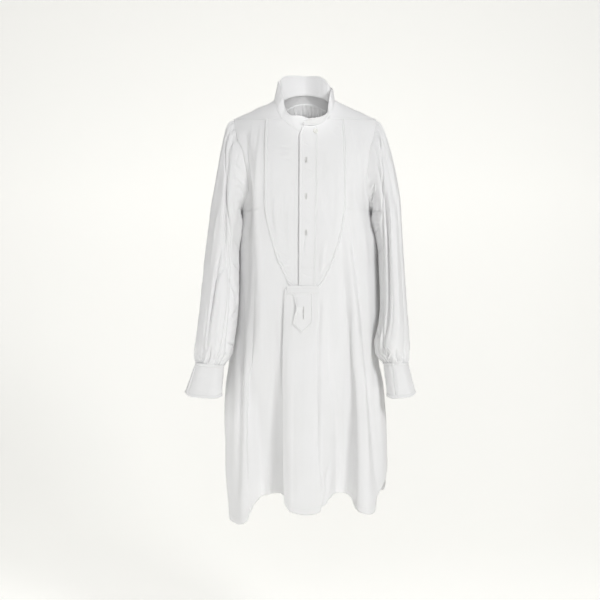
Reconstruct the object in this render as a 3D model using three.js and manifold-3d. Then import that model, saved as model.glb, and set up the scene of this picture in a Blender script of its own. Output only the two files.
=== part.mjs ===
// Bib-front nightshirt of white cotton, hanging open and hollow as if worn.
// Millimetres, +Z up, the front faces -Y and +X is on the viewer's right.
// The origin lies between the shoulders, under the neckband.

import * as THREE from "three";
import { mergeVertices } from "three/addons/utils/BufferGeometryUtils.js";
import Module from "manifold-3d";

const wasm = await Module();
wasm.setup();

// Cloth and seams
const CLOTH = 1.2;
const DOUBLE_CLOTH = 1.6;
const SEAM_GAP = 0.4;
const NECK_GAP = 1.3;
const WHITE = "#e9e8e4";
const PEARL = "#dedbd2";

// Shoulder line: height over x, from the neck down to the armhole
const SHOULDER = { peak: 60.2, slope: 0.46, round: 30, tipX: 178, nape: 20, napeHalf: 48 };
const FRONT_ROUND = 200;
const BACK_ROUND = 92;
const SECTION_POWER = 2.5;

// Horizontal sections of the body: half widths to each side, depths, and the side seam's y
const BODY = [
  { z: 70, left: 186, right: 186, front: 94, back: 92, seamY: 8 },
  { z: -30, left: 184, right: 184, front: 100, back: 96, seamY: 8 },
  { z: -100, left: 178, right: 180, front: 110, back: 102, seamY: 8 },
  { z: -160, left: 170, right: 174, front: 115, back: 106, seamY: 9 },
  { z: -210, left: 160, right: 165, front: 122, back: 104, seamY: 14 },
  { z: -256, left: 152, right: 157, front: 134, back: 95, seamY: 26 },
  { z: -275, left: 153.5, right: 161.5, front: 141, back: 88, seamY: 33 },
  { z: -293, left: 158.5, right: 171, front: 149, back: 82, seamY: 40 },
  { z: -330, left: 165, right: 182, front: 159, back: 75, seamY: 50 },
  { z: -392, left: 169, right: 187, front: 168, back: 71, seamY: 58 },
  { z: -450, left: 172, right: 190, front: 173, back: 70, seamY: 61 },
  { z: -505, left: 175, right: 191, front: 174, back: 73, seamY: 61 },
  { z: -560, left: 179, right: 185, front: 174, back: 78, seamY: 60 },
  { z: -620, left: 188, right: 186, front: 169, back: 87, seamY: 55 },
  { z: -690, left: 201, right: 199, front: 159, back: 99, seamY: 46 },
  { z: -760, left: 203, right: 204, front: 149, back: 109, seamY: 38 },
  { z: -890, left: 197, right: 207, front: 134, back: 122, seamY: 27 },
  { z: -1010, left: 191, right: 207, front: 124, back: 130, seamY: 22 },
];

// Armhole: how far its edge lies in from the widest line of the body
const ARMHOLE_TOP = -24;
const ARMHOLE_FOOT = -256;
const ARMHOLE = [
  { z: -24, inset: 6 },
  { z: -73, inset: 12 },
  { z: -112, inset: 21 },
  { z: -161, inset: 20 },
  { z: -204, inset: 13 },
  { z: -236, inset: 5 },
  { z: -256, inset: 0 },
];

// Long folds of the front and of the back, measured at the hem
const FRONT_FOLDS = [
  { x: -206, out: 0 },
  { x: -178, out: 12 },
  { x: -152, out: 30 },
  { x: -134, out: 26 },
  { x: -120, out: -8 },
  { x: -104, out: -40 },
  { x: -76, out: -48 },
  { x: -56, out: -40 },
  { x: -45, out: -2 },
  { x: -30, out: 32 },
  { x: 4, out: 42 },
  { x: 38, out: 30 },
  { x: 58, out: -6 },
  { x: 76, out: -42 },
  { x: 98, out: -44 },
  { x: 113, out: -18 },
  { x: 126, out: 20 },
  { x: 148, out: 34 },
  { x: 172, out: 18 },
  { x: 208, out: 0 },
];
const BACK_FOLDS = [
  { x: -206, out: 0 },
  { x: -170, out: 14 },
  { x: -146, out: 24 },
  { x: -112, out: -26 },
  { x: -84, out: -34 },
  { x: -46, out: 24 },
  { x: -10, out: 30 },
  { x: 26, out: -14 },
  { x: 56, out: -34 },
  { x: 92, out: 12 },
  { x: 122, out: 28 },
  { x: 152, out: -10 },
  { x: 180, out: 8 },
  { x: 208, out: 0 },
];
const FOLD_GROWTH = [
  { z: -260, share: 0 },
  { z: -420, share: 0.05 },
  { z: -560, share: 0.2 },
  { z: -700, share: 0.42 },
  { z: -850, share: 0.72 },
  { z: -1000, share: 1 },
];

// Hem heights under those folds
const FRONT_HEM = [
  { x: -206, z: -1012 },
  { x: -188, z: -1018 },
  { x: -168, z: -1019 },
  { x: -150, z: -1014 },
  { x: -140, z: -1007 },
  { x: -131, z: -986 },
  { x: -121, z: -967 },
  { x: -104, z: -954 },
  { x: -62, z: -947 },
  { x: -45, z: -962 },
  { x: -30, z: -978 },
  { x: 4, z: -983 },
  { x: 30, z: -978 },
  { x: 52, z: -958 },
  { x: 72, z: -946 },
  { x: 98, z: -948 },
  { x: 110, z: -958 },
  { x: 120, z: -976 },
  { x: 134, z: -985 },
  { x: 158, z: -990 },
  { x: 176, z: -987 },
  { x: 208, z: -978 },
];
const BACK_HEM = [
  { x: -206, z: -976 },
  { x: -146, z: -988 },
  { x: -90, z: -972 },
  { x: -20, z: -986 },
  { x: 56, z: -970 },
  { x: 122, z: -984 },
  { x: 180, z: -968 },
  { x: 208, z: -962 },
];

// Side vents: where the side seams end, how far the edges draw apart, and their round corners
const VENT = { top: -850, spread: 9, frontRight: 23, corner: 16 };

// Box pleat down the front, below the bib
const PLEAT = { layer: 2.2, underlap: 22, turns: 4 };
const PLEAT_EDGES = [
  { z: -440, left: -45, right: 29 },
  { z: -600, left: -49, right: 27 },
  { z: -800, left: -48, right: 28 },
  { z: -1000, left: -44, right: 40 },
];

// Yoke over the shoulders: its seams on the front and on the back
const YOKE = { frontTipZ: -24, frontFall: 0.1, backCentreZ: 28, backTipZ: -78 };

// Bib, in two halves that meet under the placket
const BIB = { foot: -446, parting: 10, overFront: 9, out: 2.2 };
const BIB_EDGES = [
  { z: -10, left: -96, right: 93 },
  { z: -100, left: -98, right: 97 },
  { z: -236, left: -98, right: 98 },
  { z: -272, left: -95, right: 95 },
  { z: -313, left: -86, right: 88 },
  { z: -375, left: -68, right: 70 },
  { z: -415, left: -50, right: 53 },
  { z: -436, left: -40, right: 41 },
  { z: -446, left: -33, right: 32 },
];
const PLACKET = { top: -56.8, foot: -444.5, out: 4.6 };
const PLACKET_EDGES = [
  { z: -55, left: -5, right: 30 },
  { z: -84, left: -13, right: 30 },
  { z: -240, left: -14, right: 29 },
  { z: -445, left: -15, right: 24 },
];
const STUD_HOLES = { x: 2, heights: [-140, -227, -314], length: 12, width: 1.5 };

// Bar across the foot of the bib, and the tab that hangs from it
const BAR = { left: -41, right: 30, top: -445.5, foot: -461, out: 8.6 };
const TAB = { top: -447, tipX: -8, tipZ: -555, out: 6.3, wall: 1.4 };
const TAB_EDGES = [
  { z: -447, left: -38, right: 17, lift: 0 },
  { z: -463, left: -29, right: 17, lift: 0.1 },
  { z: -481, left: -23, right: 17, lift: 4 },
  { z: -495, left: -20, right: 17, lift: 8 },
  { z: -511, left: -24, right: 17, lift: 5 },
  { z: -531, left: -29, right: 16, lift: 3 },
];
const TAB_HOLE = { x: -5, top: -491, foot: -521, width: 1.6 };

// Neckband: its seam along the neckline, and how far its top rises and leans out
const NECKBAND = [
  { x: 9, z: -69, face: -1, out: 1.4, lean: -9, rise: 33 },
  { x: -14, z: -67, face: -1, out: 1.4, lean: -9, rise: 38 },
  { x: -37, z: -53, face: -1, out: 1.4, lean: -6, rise: 26 },
  { x: -57, z: -30, face: -1, out: 1, lean: -13, rise: 24 },
  { x: -70, z: 0, face: -1, out: 0.5, lean: -17, rise: 33 },
  { x: -77, z: 21, face: -1, out: 0, lean: -11, rise: 47 },
  { x: -68, z: 23, face: 1, out: 0, lean: -3, rise: 57 },
  { x: -56, z: 31, face: 1, out: 0, lean: -1, rise: 60 },
  { x: -38, z: 41, face: 1, out: 0, lean: 0, rise: 55 },
  { x: 0, z: 50, face: 1, out: 0, lean: 1, rise: 48 },
  { x: 38, z: 41, face: 1, out: 0, lean: 0, rise: 52 },
  { x: 56, z: 31, face: 1, out: 0, lean: -1, rise: 49 },
  { x: 67, z: 23, face: 1, out: 0, lean: -2, rise: 42 },
  { x: 74, z: 23, face: -1, out: 0, lean: -5, rise: 29 },
  { x: 68, z: -2, face: -1, out: 0.5, lean: -7, rise: 40 },
  { x: 60, z: -22, face: -1, out: 1.6, lean: -5, rise: 25 },
  { x: 48, z: -40, face: -1, out: 3.6, lean: 5, rise: 16 },
  { x: 23, z: -53, face: -1, out: 6.5, lean: 14, rise: 14 },
  { x: -4, z: -54, face: -1, out: 7.5, lean: 16, rise: 12 },
];
const BUTTON = { x: 24, z: -70, radius: 6.2, thick: 2.4, dish: 0.7, out: 7 };

// Sleeves: outer and inner lines seen from the front, middle y and half depth, from armhole to cuff
const LEFT_SLEEVE = [
  { outX: -179, outZ: -24, inX: -151, inZ: -256, y: 9, deep: 64 },
  { outX: -193, outZ: -40, inX: -155, inZ: -264, y: 5, deep: 66 },
  { outX: -205, outZ: -82, inX: -157.5, inZ: -272, y: 1, deep: 68 },
  { outX: -214, outZ: -128, inX: -159, inZ: -282, y: -4, deep: 69 },
  { outX: -223, outZ: -182, inX: -160, inZ: -295, y: -10, deep: 69 },
  { outX: -232, outZ: -236, inX: -161, inZ: -315, y: -15, deep: 69 },
  { outX: -240, outZ: -300, inX: -162, inZ: -345, y: -20, deep: 69 },
  { outX: -247, outZ: -362, inX: -163, inZ: -385, y: -26, deep: 68 },
  { outX: -252, outZ: -420, inX: -163, inZ: -428, y: -32, deep: 67 },
  { outX: -258, outZ: -482, inX: -164, inZ: -484, y: -38, deep: 65 },
  { outX: -264, outZ: -540, inX: -169, inZ: -540, y: -44, deep: 62 },
  { outX: -267, outZ: -582, inX: -174, inZ: -580, y: -49, deep: 58 },
  { outX: -268, outZ: -604, inX: -179, inZ: -603, y: -51, deep: 51 },
  { outX: -267, outZ: -618, inX: -190, inZ: -621, y: -53, deep: 42 },
  { outX: -266.5, outZ: -626, inX: -199.5, inZ: -632, y: -54, deep: 35 },
];
const RIGHT_SLEEVE = [
  { outX: 179, outZ: -24, inX: 157, inZ: -256, y: 9, deep: 64 },
  { outX: 193, outZ: -44, inX: 163.5, inZ: -264, y: 5, deep: 66 },
  { outX: 207, outZ: -82, inX: 168.5, inZ: -271, y: 1, deep: 68 },
  { outX: 218, outZ: -122, inX: 172.5, inZ: -279, y: -4, deep: 69 },
  { outX: 228, outZ: -170, inX: 176, inZ: -291, y: -10, deep: 69 },
  { outX: 236, outZ: -226, inX: 179, inZ: -310, y: -15, deep: 69 },
  { outX: 240, outZ: -292, inX: 181, inZ: -338, y: -20, deep: 69 },
  { outX: 243, outZ: -360, inX: 182, inZ: -380, y: -26, deep: 68 },
  { outX: 246, outZ: -420, inX: 184, inZ: -428, y: -32, deep: 66 },
  { outX: 250, outZ: -482, inX: 185, inZ: -484, y: -38, deep: 64 },
  { outX: 254, outZ: -536, inX: 180, inZ: -536, y: -44, deep: 61 },
  { outX: 256, outZ: -580, inX: 170, inZ: -577, y: -49, deep: 57 },
  { outX: 255, outZ: -602, inX: 171, inZ: -602, y: -51, deep: 51 },
  { outX: 251.5, outZ: -616, inX: 183, inZ: -618, y: -53, deep: 42 },
  { outX: 250, outZ: -626, inX: 193, inZ: -627, y: -54, deep: 36 },
];
const ARMHOLE_EASE = 2;

// Creases along a sleeve: turn is 0 outside, 90 in front, 180 inside; from and to are sections
const LEFT_SLEEVE_FOLDS = [
  { turn: 50, drift: 76, width: 15, deep: -11, from: 0.6, to: 8.6 },
  { turn: 28, drift: -6, width: 12, deep: 3, from: 1, to: 7 },
  { turn: 96, drift: -34, width: 12, deep: -8, from: 6, to: 11 },
  { turn: 132, drift: 10, width: 13, deep: -7, from: 6.5, to: 12.5 },
  { turn: 122, drift: 10, width: 14, deep: 4, from: 1.5, to: 6 },
  { turn: 214, drift: 8, width: 16, deep: -8, from: 2, to: 10 },
  { turn: 262, drift: -10, width: 15, deep: -8, from: 1, to: 9 },
  { turn: 304, drift: 8, width: 15, deep: -7, from: 3, to: 12 },
];
const RIGHT_SLEEVE_FOLDS = [
  { turn: 62, drift: 26, width: 12, deep: -12, from: 1, to: 13 },
  { turn: 34, drift: 8, width: 13, deep: 5, from: 1, to: 10 },
  { turn: 122, drift: 6, width: 13, deep: 6, from: 2, to: 8 },
  { turn: 142, drift: -8, width: 12, deep: -8, from: 7, to: 13 },
  { turn: 212, drift: 8, width: 16, deep: -8, from: 2, to: 11 },
  { turn: 258, drift: -8, width: 15, deep: -9, from: 1, to: 10 },
  { turn: 306, drift: 10, width: 15, deep: -7, from: 3, to: 12 },
];
const HEAD_PLEATS = { spacing: 20, reach: 70, deep: 3, to: 2.6 };
const WRIST_GATHERS = { spacing: 30, deep: 3.2, from: 10.5 };
const GUSSET = { turns: 34, depth: 4.6, seam: 0.4 };
const WRIST_SLIT = { length: 58, width: 2.4 };

// Cuffs: top and foot sections, and the turn at which the outer end lies
const LEFT_CUFF = {
  outX: -267, outZ: -627, inX: -199, inZ: -633, y: -54, deep: 35,
  footOutX: -292, footOutZ: -708, footInX: -203, footInZ: -715, footY: -58, footDeep: 41,
  opening: 40, way: 1,
};
const RIGHT_CUFF = {
  outX: 250.5, outZ: -627, inX: 192.5, inZ: -628, y: -54, deep: 36,
  footOutX: 268, footOutZ: -708, footInX: 200.5, footInZ: -715, footY: -58, footDeep: 41,
  opening: 122, way: 1,
};
const CUFF = { overlap: 30, spiral: 1.15, corner: 13, sideRise: 9 };

// How finely each piece is divided
const GRID = {
  side: 17, pleat: 5, frontRows: 19, backCols: 44, backRows: 16, yokeCols: 22, yokeRows: 8,
  bibCols: 8, bibRows: 15, bandCols: 38, sleeveCols: 40, sleeveRows: 14, cuffCols: 25, cuffRows: 4,
};

// Value at a place in a table, on a smooth curve that never overshoots its rows
function look(rows, by, column, at) {
  const falling = rows[0][by] > rows[rows.length - 1][by];
  const sign = falling ? -1 : 1;
  const place = at * sign;
  const last = rows.length - 1;
  if (place <= rows[0][by] * sign) return rows[0][column];
  if (place >= rows[last][by] * sign) return rows[last][column];
  let i = 0;
  while (place > rows[i + 1][by] * sign) i += 1;
  const slope = (k) => {
    if (k < 0 || k >= last) return null;
    return (rows[k + 1][column] - rows[k][column]) / ((rows[k + 1][by] - rows[k][by]) * sign);
  };
  const tangent = (k) => {
    const before = slope(k - 1);
    const after = slope(k);
    if (before === null) return after;
    if (after === null) return before;
    if (before * after <= 0) return 0;
    return (2 * before * after) / (before + after);
  };
  const span = (rows[i + 1][by] - rows[i][by]) * sign;
  const s = (place - rows[i][by] * sign) / span;
  const a = rows[i][column];
  const b = rows[i + 1][column];
  const ta = tangent(i) * span;
  const tb = tangent(i + 1) * span;
  const s2 = s * s;
  const s3 = s2 * s;
  return (2 * s3 - 3 * s2 + 1) * a + (s3 - 2 * s2 + s) * ta + (3 * s2 - 2 * s3) * b + (s3 - s2) * tb;
}

const mix = (a, b, s) => a + (b - a) * s;
const clamp = (v, low, high) => Math.min(high, Math.max(low, v));
const ease = (s) => {
  const c = clamp(s, 0, 1);
  return c * c * (3 - 2 * c);
};
const bump = (distance, width) => {
  const s = Math.abs(distance) / width;
  return s >= 1 ? 0 : 0.5 + 0.5 * Math.cos(Math.PI * s);
};
const radians = (degrees) => (degrees * Math.PI) / 180;

// Height of the shoulder line over x, a little higher at the nape
function shoulderZ(x) {
  const line = SHOULDER.peak - SHOULDER.slope * Math.hypot(x, SHOULDER.round);
  return line + SHOULDER.nape * Math.exp(-((x / SHOULDER.napeHalf) ** 2));
}

function halfWidth(x, z) {
  return look(BODY, "z", x < 0 ? "left" : "right", z);
}

// Depth of the fold pattern of one face, which grows towards the hem
function foldOut(face, x, z) {
  const rows = face < 0 ? FRONT_FOLDS : BACK_FOLDS;
  const side = halfWidth(x, z) / halfWidth(x, -1000);
  return look(rows, "x", "out", x / side) * look(FOLD_GROWTH, "z", "share", z);
}

// Point of the body's cloth: turn is 0 at the middle of the face and 90 at the side seam
function bodyAt(face, turn, z) {
  const angle = radians(turn);
  const wide = halfWidth(turn, z);
  const deep = look(BODY, "z", face < 0 ? "front" : "back", z);
  const power = SECTION_POWER;
  const sx = Math.abs(Math.sin(angle)) / wide;
  const sy = Math.max(1e-9, Math.abs(Math.cos(angle))) / deep;
  const radius = (sx ** power + sy ** power) ** (-1 / power);
  const x = radius * Math.sin(angle);
  const y = radius * Math.cos(angle);
  const round = face < 0 ? FRONT_ROUND : BACK_ROUND;
  const fall = clamp((shoulderZ(x) - z) / round, 0, 1);
  const shoulder = Math.sqrt(1 - (1 - fall) ** 2);
  const seam = look(BODY, "z", "seamY", z);
  const out = foldOut(face, x, z) * ease(Math.abs(Math.cos(angle)) * 3);
  return new THREE.Vector3(x, seam + face * (y * shoulder + out), z);
}

// The turn at which the body's cloth has a given x
function turnAt(x, z, face) {
  const wide = halfWidth(x, z);
  const deep = look(BODY, "z", face < 0 ? "front" : "back", z);
  const share = Math.min(1, Math.abs(x) / wide);
  const y = deep * (1 - share ** SECTION_POWER) ** (1 / SECTION_POWER);
  return (Math.atan2(x, y) * 180) / Math.PI;
}

// Point moved out of the body's cloth along its normal
function bodyOut(face, turn, z, out) {
  const point = bodyAt(face, turn, z);
  const step = 0.6;
  const across = bodyAt(face, Math.min(90, turn + step), z).sub(bodyAt(face, Math.max(-90, turn - step), z));
  const down = bodyAt(face, turn, z - 3).sub(bodyAt(face, turn, z + 3));
  const normal = across.cross(down).normalize().multiplyScalar(face < 0 ? -1 : 1);
  const seaward = new THREE.Vector3(0, face, 0.2);
  if (normal.dot(seaward) < 0) normal.negate();
  return point.addScaledVector(normal, out);
}

const onBody = (face, x, z, out) => bodyOut(face, turnAt(x, z, face), z, out);

// Edge of the armhole on one face at a height
function armholeX(side, z) {
  return side * (halfWidth(side, z) - look(ARMHOLE, "z", "inset", z));
}

// The turn of a panel's side edge: the armhole above, the side seam and the vent below
function sideTurn(side, face, z) {
  if (z > ARMHOLE_FOOT) return turnAt(armholeX(side, z), z, face);
  const spread = face < 0 && side > 0 ? VENT.frontRight : VENT.spread;
  const vent = spread * ease((VENT.top - z) / 120);
  return side * (90 - 0.16 - vent);
}

// A wall of even thickness on a grid of points, closed round its edges
function wall(grid, thick, closed = false) {
  const rows = grid.length;
  const cols = grid[0].length;
  const at = (r, c) => grid[clamp(r, 0, rows - 1)][closed ? (c + cols) % cols : clamp(c, 0, cols - 1)];
  const points = [];
  for (const way of [1, -1]) {
    for (let r = 0; r < rows; r += 1) {
      for (let c = 0; c < cols; c += 1) {
        const across = at(r, c + 1).clone().sub(at(r, c - 1));
        const down = at(r + 1, c).clone().sub(at(r - 1, c));
        const normal = across.cross(down).normalize();
        points.push(at(r, c).clone().addScaledVector(normal, (way * thick) / 2));
      }
    }
  }
  const index = [];
  const id = (layer, r, c) => layer * rows * cols + r * cols + (closed ? (c + cols) % cols : c);
  const quad = (a, b, c, d) => index.push(a, b, c, a, c, d);
  const lastCol = closed ? cols : cols - 1;
  for (let r = 0; r < rows - 1; r += 1) {
    for (let c = 0; c < lastCol; c += 1) {
      quad(id(0, r, c), id(0, r, c + 1), id(0, r + 1, c + 1), id(0, r + 1, c));
      quad(id(1, r, c), id(1, r + 1, c), id(1, r + 1, c + 1), id(1, r, c + 1));
    }
  }
  for (let c = 0; c < lastCol; c += 1) {
    quad(id(0, 0, c), id(1, 0, c), id(1, 0, c + 1), id(0, 0, c + 1));
    quad(id(0, rows - 1, c), id(0, rows - 1, c + 1), id(1, rows - 1, c + 1), id(1, rows - 1, c));
  }
  if (!closed) {
    for (let r = 0; r < rows - 1; r += 1) {
      quad(id(0, r, 0), id(0, r + 1, 0), id(1, r + 1, 0), id(1, r, 0));
      quad(id(0, r, cols - 1), id(1, r, cols - 1), id(1, r + 1, cols - 1), id(0, r + 1, cols - 1));
    }
  }
  const geometry = new THREE.BufferGeometry().setFromPoints(points);
  geometry.setIndex(index);
  return outward(geometry);
}

// Turns every face of a closed geometry outward
function outward(geometry) {
  const place = geometry.getAttribute("position");
  const index = geometry.getIndex();
  let volume = 0;
  const p = [new THREE.Vector3(), new THREE.Vector3(), new THREE.Vector3()];
  for (let i = 0; i < index.count; i += 3) {
    for (let k = 0; k < 3; k += 1) p[k].fromBufferAttribute(place, index.getX(i + k));
    volume += p[0].dot(p[1].clone().cross(p[2]));
  }
  if (volume < 0) {
    const turned = [];
    for (let i = 0; i < index.count; i += 3) turned.push(index.getX(i), index.getX(i + 2), index.getX(i + 1));
    geometry.setIndex(turned);
  }
  return geometry;
}

function solid(geometry) {
  const plain = geometry.clone();
  for (const name of Object.keys(plain.attributes)) if (name !== "position") plain.deleteAttribute(name);
  const merged = mergeVertices(plain, 1e-4);
  return new wasm.Manifold(
    new wasm.Mesh({
      numProp: 3,
      vertProperties: new Float32Array(merged.getAttribute("position").array),
      triVerts: new Uint32Array(merged.getIndex().array),
    }),
  );
}

// The largest body of a cut solid, as a geometry
function shape(cut) {
  const bodies = cut.decompose().sort((a, b) => b.volume() - a.volume());
  const mesh = bodies[0].simplify(0.02).getMesh();
  const geometry = new THREE.BufferGeometry();
  const count = mesh.vertProperties.length / mesh.numProp;
  const place = new Float32Array(count * 3);
  for (let i = 0; i < count; i += 1) {
    for (let k = 0; k < 3; k += 1) place[i * 3 + k] = mesh.vertProperties[i * mesh.numProp + k];
  }
  geometry.setAttribute("position", new THREE.BufferAttribute(place, 3));
  geometry.setIndex(new THREE.BufferAttribute(new Uint32Array(mesh.triVerts), 1));
  return geometry;
}

// A prism along Y over an outline of x, z points, for cutting the front
function prismAlongY(outline, nearY, farY) {
  const path = new THREE.Shape(outline.map(([x, z]) => new THREE.Vector2(x, z)));
  const geometry = new THREE.ExtrudeGeometry(path, { depth: farY - nearY, bevelEnabled: false });
  geometry.rotateX(Math.PI / 2);
  geometry.translate(0, farY, 0);
  return geometry;
}

const nightshirt = new THREE.Group();

function add(name, geometry, colour = WHITE, roughness = 0.9) {
  const material = new THREE.MeshStandardMaterial({ color: colour, roughness, metalness: 0 });
  const mesh = new THREE.Mesh(geometry, material);
  mesh.name = name;
  nightshirt.add(mesh);
}

// Seam between the yoke and a front, and between the yoke and the back
const frontSeamZ = (x) => YOKE.frontTipZ - (SHOULDER.tipX - Math.abs(x)) * YOKE.frontFall;
const backSeamZ = (x) => mix(YOKE.backCentreZ, YOKE.backTipZ, ease(Math.abs(x) / 190));

// Height of a panel's point: seam at the top, hem at the foot, level between
function panelZ(rows, share, topZ, hemZ) {
  const level = look(rows, "share", "z", share);
  const top = (1 - clamp(share / 0.28, 0, 1)) ** 2;
  const foot = clamp((share - 0.6) / 0.4, 0, 1) ** 2;
  return level + (topZ - rows[0].z) * top + (hemZ - rows[rows.length - 1].z) * foot;
}
const FRONT_LEVELS = [
  { share: 0, z: -30 },
  { share: 0.12, z: -92 },
  { share: 0.3, z: -256 },
  { share: 0.5, z: -446 },
  { share: 0.75, z: -720 },
  { share: 1, z: -985 },
];

// Front: one panel with the box pleat folded into it
function frontPath(share) {
  const row = [];
  const hemAt = (x) => look(FRONT_HEM, "x", "z", x);
  const heightAt = (x) => panelZ(FRONT_LEVELS, share, frontSeamZ(x) - SEAM_GAP, hemAt(x));
  const edges = (z) => ({
    left: look(PLEAT_EDGES, "z", "left", z),
    right: look(PLEAT_EDGES, "z", "right", z),
  });
  const middle = edges(heightAt(-8));
  const under = PLEAT.underlap;
  const gap = PLEAT.layer;
  const place = (x, out) => {
    const z = heightAt(x);
    return onBody(-1, x, z, out);
  };
  const flank = (side) => {
    const points = [];
    for (let i = 0; i <= GRID.side; i += 1) {
      const s = i / GRID.side;
      const start = side < 0 ? middle.left + under : middle.right - under;
      const edgeZ = heightAt(armholeX(side, heightAt(side * 150)));
      const corner = VENT.corner * (1 - Math.sqrt(1 - ease((s - 0.93) / 0.07) ** 2)) * ease((share - 0.9) / 0.1);
      const turn = mix(turnAt(start, edgeZ, -1), sideTurn(side, -1, edgeZ), s);
      const guess = bodyAt(-1, turn, edgeZ).x;
      const z = heightAt(guess) + corner;
      const exact = mix(turnAt(start, z, -1), sideTurn(side, -1, z), s);
      points.push(bodyOut(-1, exact, z, 0));
    }
    return points;
  };
  const turnOver = (x, way, low) => {
    const points = [];
    for (let i = 1; i < PLEAT.turns; i += 1) {
      const angle = (Math.PI * i) / PLEAT.turns;
      const reach = Math.sin(angle) * gap * 0.5 * way;
      points.push(place(x + reach, low + (gap * (1 - Math.cos(angle))) / 2));
    }
    return points;
  };
  row.push(...flank(-1).reverse());
  row.push(...turnOver(middle.left + under, 1, 0));
  row.push(place(middle.left + under, gap), place(middle.left + under / 2, gap), place(middle.left, gap));
  row.push(...turnOver(middle.left, -1, gap));
  for (let i = 0; i <= GRID.pleat; i += 1) row.push(place(mix(middle.left, middle.right, i / GRID.pleat), 2 * gap));
  row.push(...turnOver(middle.right, 1, gap).reverse());
  row.push(place(middle.right, gap), place(middle.right - under / 2, gap), place(middle.right - under, gap));
  row.push(...turnOver(middle.right - under, -1, 0).reverse());
  row.push(...flank(1));
  return row;
}

// Outline of the bib, drawn in by a margin
function bibOutline(margin, foot) {
  const outline = [];
  const steps = 18;
  const top = 60;
  for (let i = 0; i <= steps; i += 1) {
    const z = mix(foot, top, i / steps);
    outline.push([look(BIB_EDGES, "z", "right", z) - margin, z]);
  }
  for (let i = steps; i >= 0; i -= 1) {
    const z = mix(foot, top, i / steps);
    outline.push([look(BIB_EDGES, "z", "left", z) + margin, z]);
  }
  return outline;
}

function buildFront() {
  const grid = [];
  for (let r = 0; r <= GRID.frontRows; r += 1) grid.push(frontPath(r / GRID.frontRows));
  const cloth = solid(wall(grid, CLOTH));
  const opening = solid(prismAlongY(bibOutline(BIB.overFront, BIB.foot - 0.5), -400, 0));
  const lift = [];
  for (let r = 0; r <= 10; r += 1) {
    const z = mix(BIB.foot - 0.5, -150, r / 10);
    const row = [];
    for (let c = 0; c <= 12; c += 1) row.push(onBody(-1, mix(-75, 70, c / 12), z, 8.72));
    lift.push(row);
  }
  const pleatTop = solid(wall(lift, 16));
  add("Front_panel", shape(cloth.subtract(opening).subtract(pleatTop)));
}

// Back: one panel, gathered into the yoke at its middle
const BACK_LEVELS = [
  { share: 0, z: -20 },
  { share: 0.1, z: -70 },
  { share: 0.3, z: -256 },
  { share: 0.5, z: -450 },
  { share: 0.75, z: -720 },
  { share: 1, z: -978 },
];
const BACK_GATHERS = { half: 60, pitch: 11, deep: 2.6, length: 0.2 };

function buildBack() {
  const grid = [];
  for (let r = 0; r <= GRID.backRows; r += 1) {
    const share = r / GRID.backRows;
    const row = [];
    for (let c = 0; c <= GRID.backCols; c += 1) {
      const across = (2 * c) / GRID.backCols - 1;
      const s = Math.sign(across) * Math.abs(across) ** (1.35 - 0.35 * ease(share * 2));
      const side = s < 0 ? -1 : 1;
      const hemAt = (x) => look(BACK_HEM, "x", "z", x);
      const zAt = (x) => panelZ(BACK_LEVELS, share, backSeamZ(x) - 2 * SEAM_GAP, hemAt(x));
      let z = zAt(side * 120);
      for (let i = 0; i < 3; i += 1) z = zAt(bodyAt(1, Math.abs(s) * sideTurn(side, 1, z), z).x);
      const corner = VENT.corner * (1 - Math.sqrt(1 - ease((Math.abs(s) - 0.93) / 0.07) ** 2));
      z += corner * ease((share - 0.9) / 0.1);
      const turn = Math.abs(s) * sideTurn(side, 1, z);
      const x = bodyAt(1, turn, z).x;
      const near = (1 - ease(share / BACK_GATHERS.length)) * (0.15 + 0.85 * ease(share / 0.04));
      const inside = 1 - ease((Math.abs(x) - BACK_GATHERS.half) / 16);
      const wave = Math.sin((2 * Math.PI * x) / BACK_GATHERS.pitch) * BACK_GATHERS.deep * near * inside;
      row.push(bodyOut(1, turn, z, wave));
    }
    grid.push(row);
  }
  add("Back_panel", wall(grid, CLOTH));
}

// Points of the neckband's seam and of its top edge
function bandPoints() {
  return NECKBAND.map((row) => {
    const foot = onBody(row.face, row.x, Math.min(row.z, shoulderZ(row.x) - 0.5), row.out);
    const away = new THREE.Vector3(foot.x, foot.y + 8, 0).normalize();
    const top = foot.clone().addScaledVector(away, row.lean);
    top.z += row.rise;
    return { foot, top };
  });
}

function buildNeckband() {
  const points = bandPoints();
  const footLine = new THREE.CatmullRomCurve3(points.map((p) => p.foot), false, "centripetal");
  const topLine = new THREE.CatmullRomCurve3(points.map((p) => p.top), false, "centripetal");
  const grid = [0, 0.5, 1].map((s) => {
    const row = [];
    for (let c = 0; c <= GRID.bandCols; c += 1) {
      const u = c / GRID.bandCols;
      row.push(footLine.getPoint(u).lerp(topLine.getPoint(u), s));
    }
    return row;
  });
  add("Neckband", wall(grid, DOUBLE_CLOTH));
}

// The hole for the neck, cut straight down through the yoke
function neckHole(margin) {
  const points = bandPoints().slice(1, -1).map((p) => p.foot);
  const outline = points.map((p) => {
    const away = new THREE.Vector2(p.x, p.y + 8).normalize().multiplyScalar(margin);
    return new THREE.Vector2(p.x + away.x, p.y + away.y);
  });
  const curve = new THREE.SplineCurve([...outline, outline[0]]);
  const geometry = new THREE.ExtrudeGeometry(new THREE.Shape(curve.getPoints(48)), { depth: 400, bevelEnabled: false });
  geometry.translate(0, 0, -200);
  return geometry;
}

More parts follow.
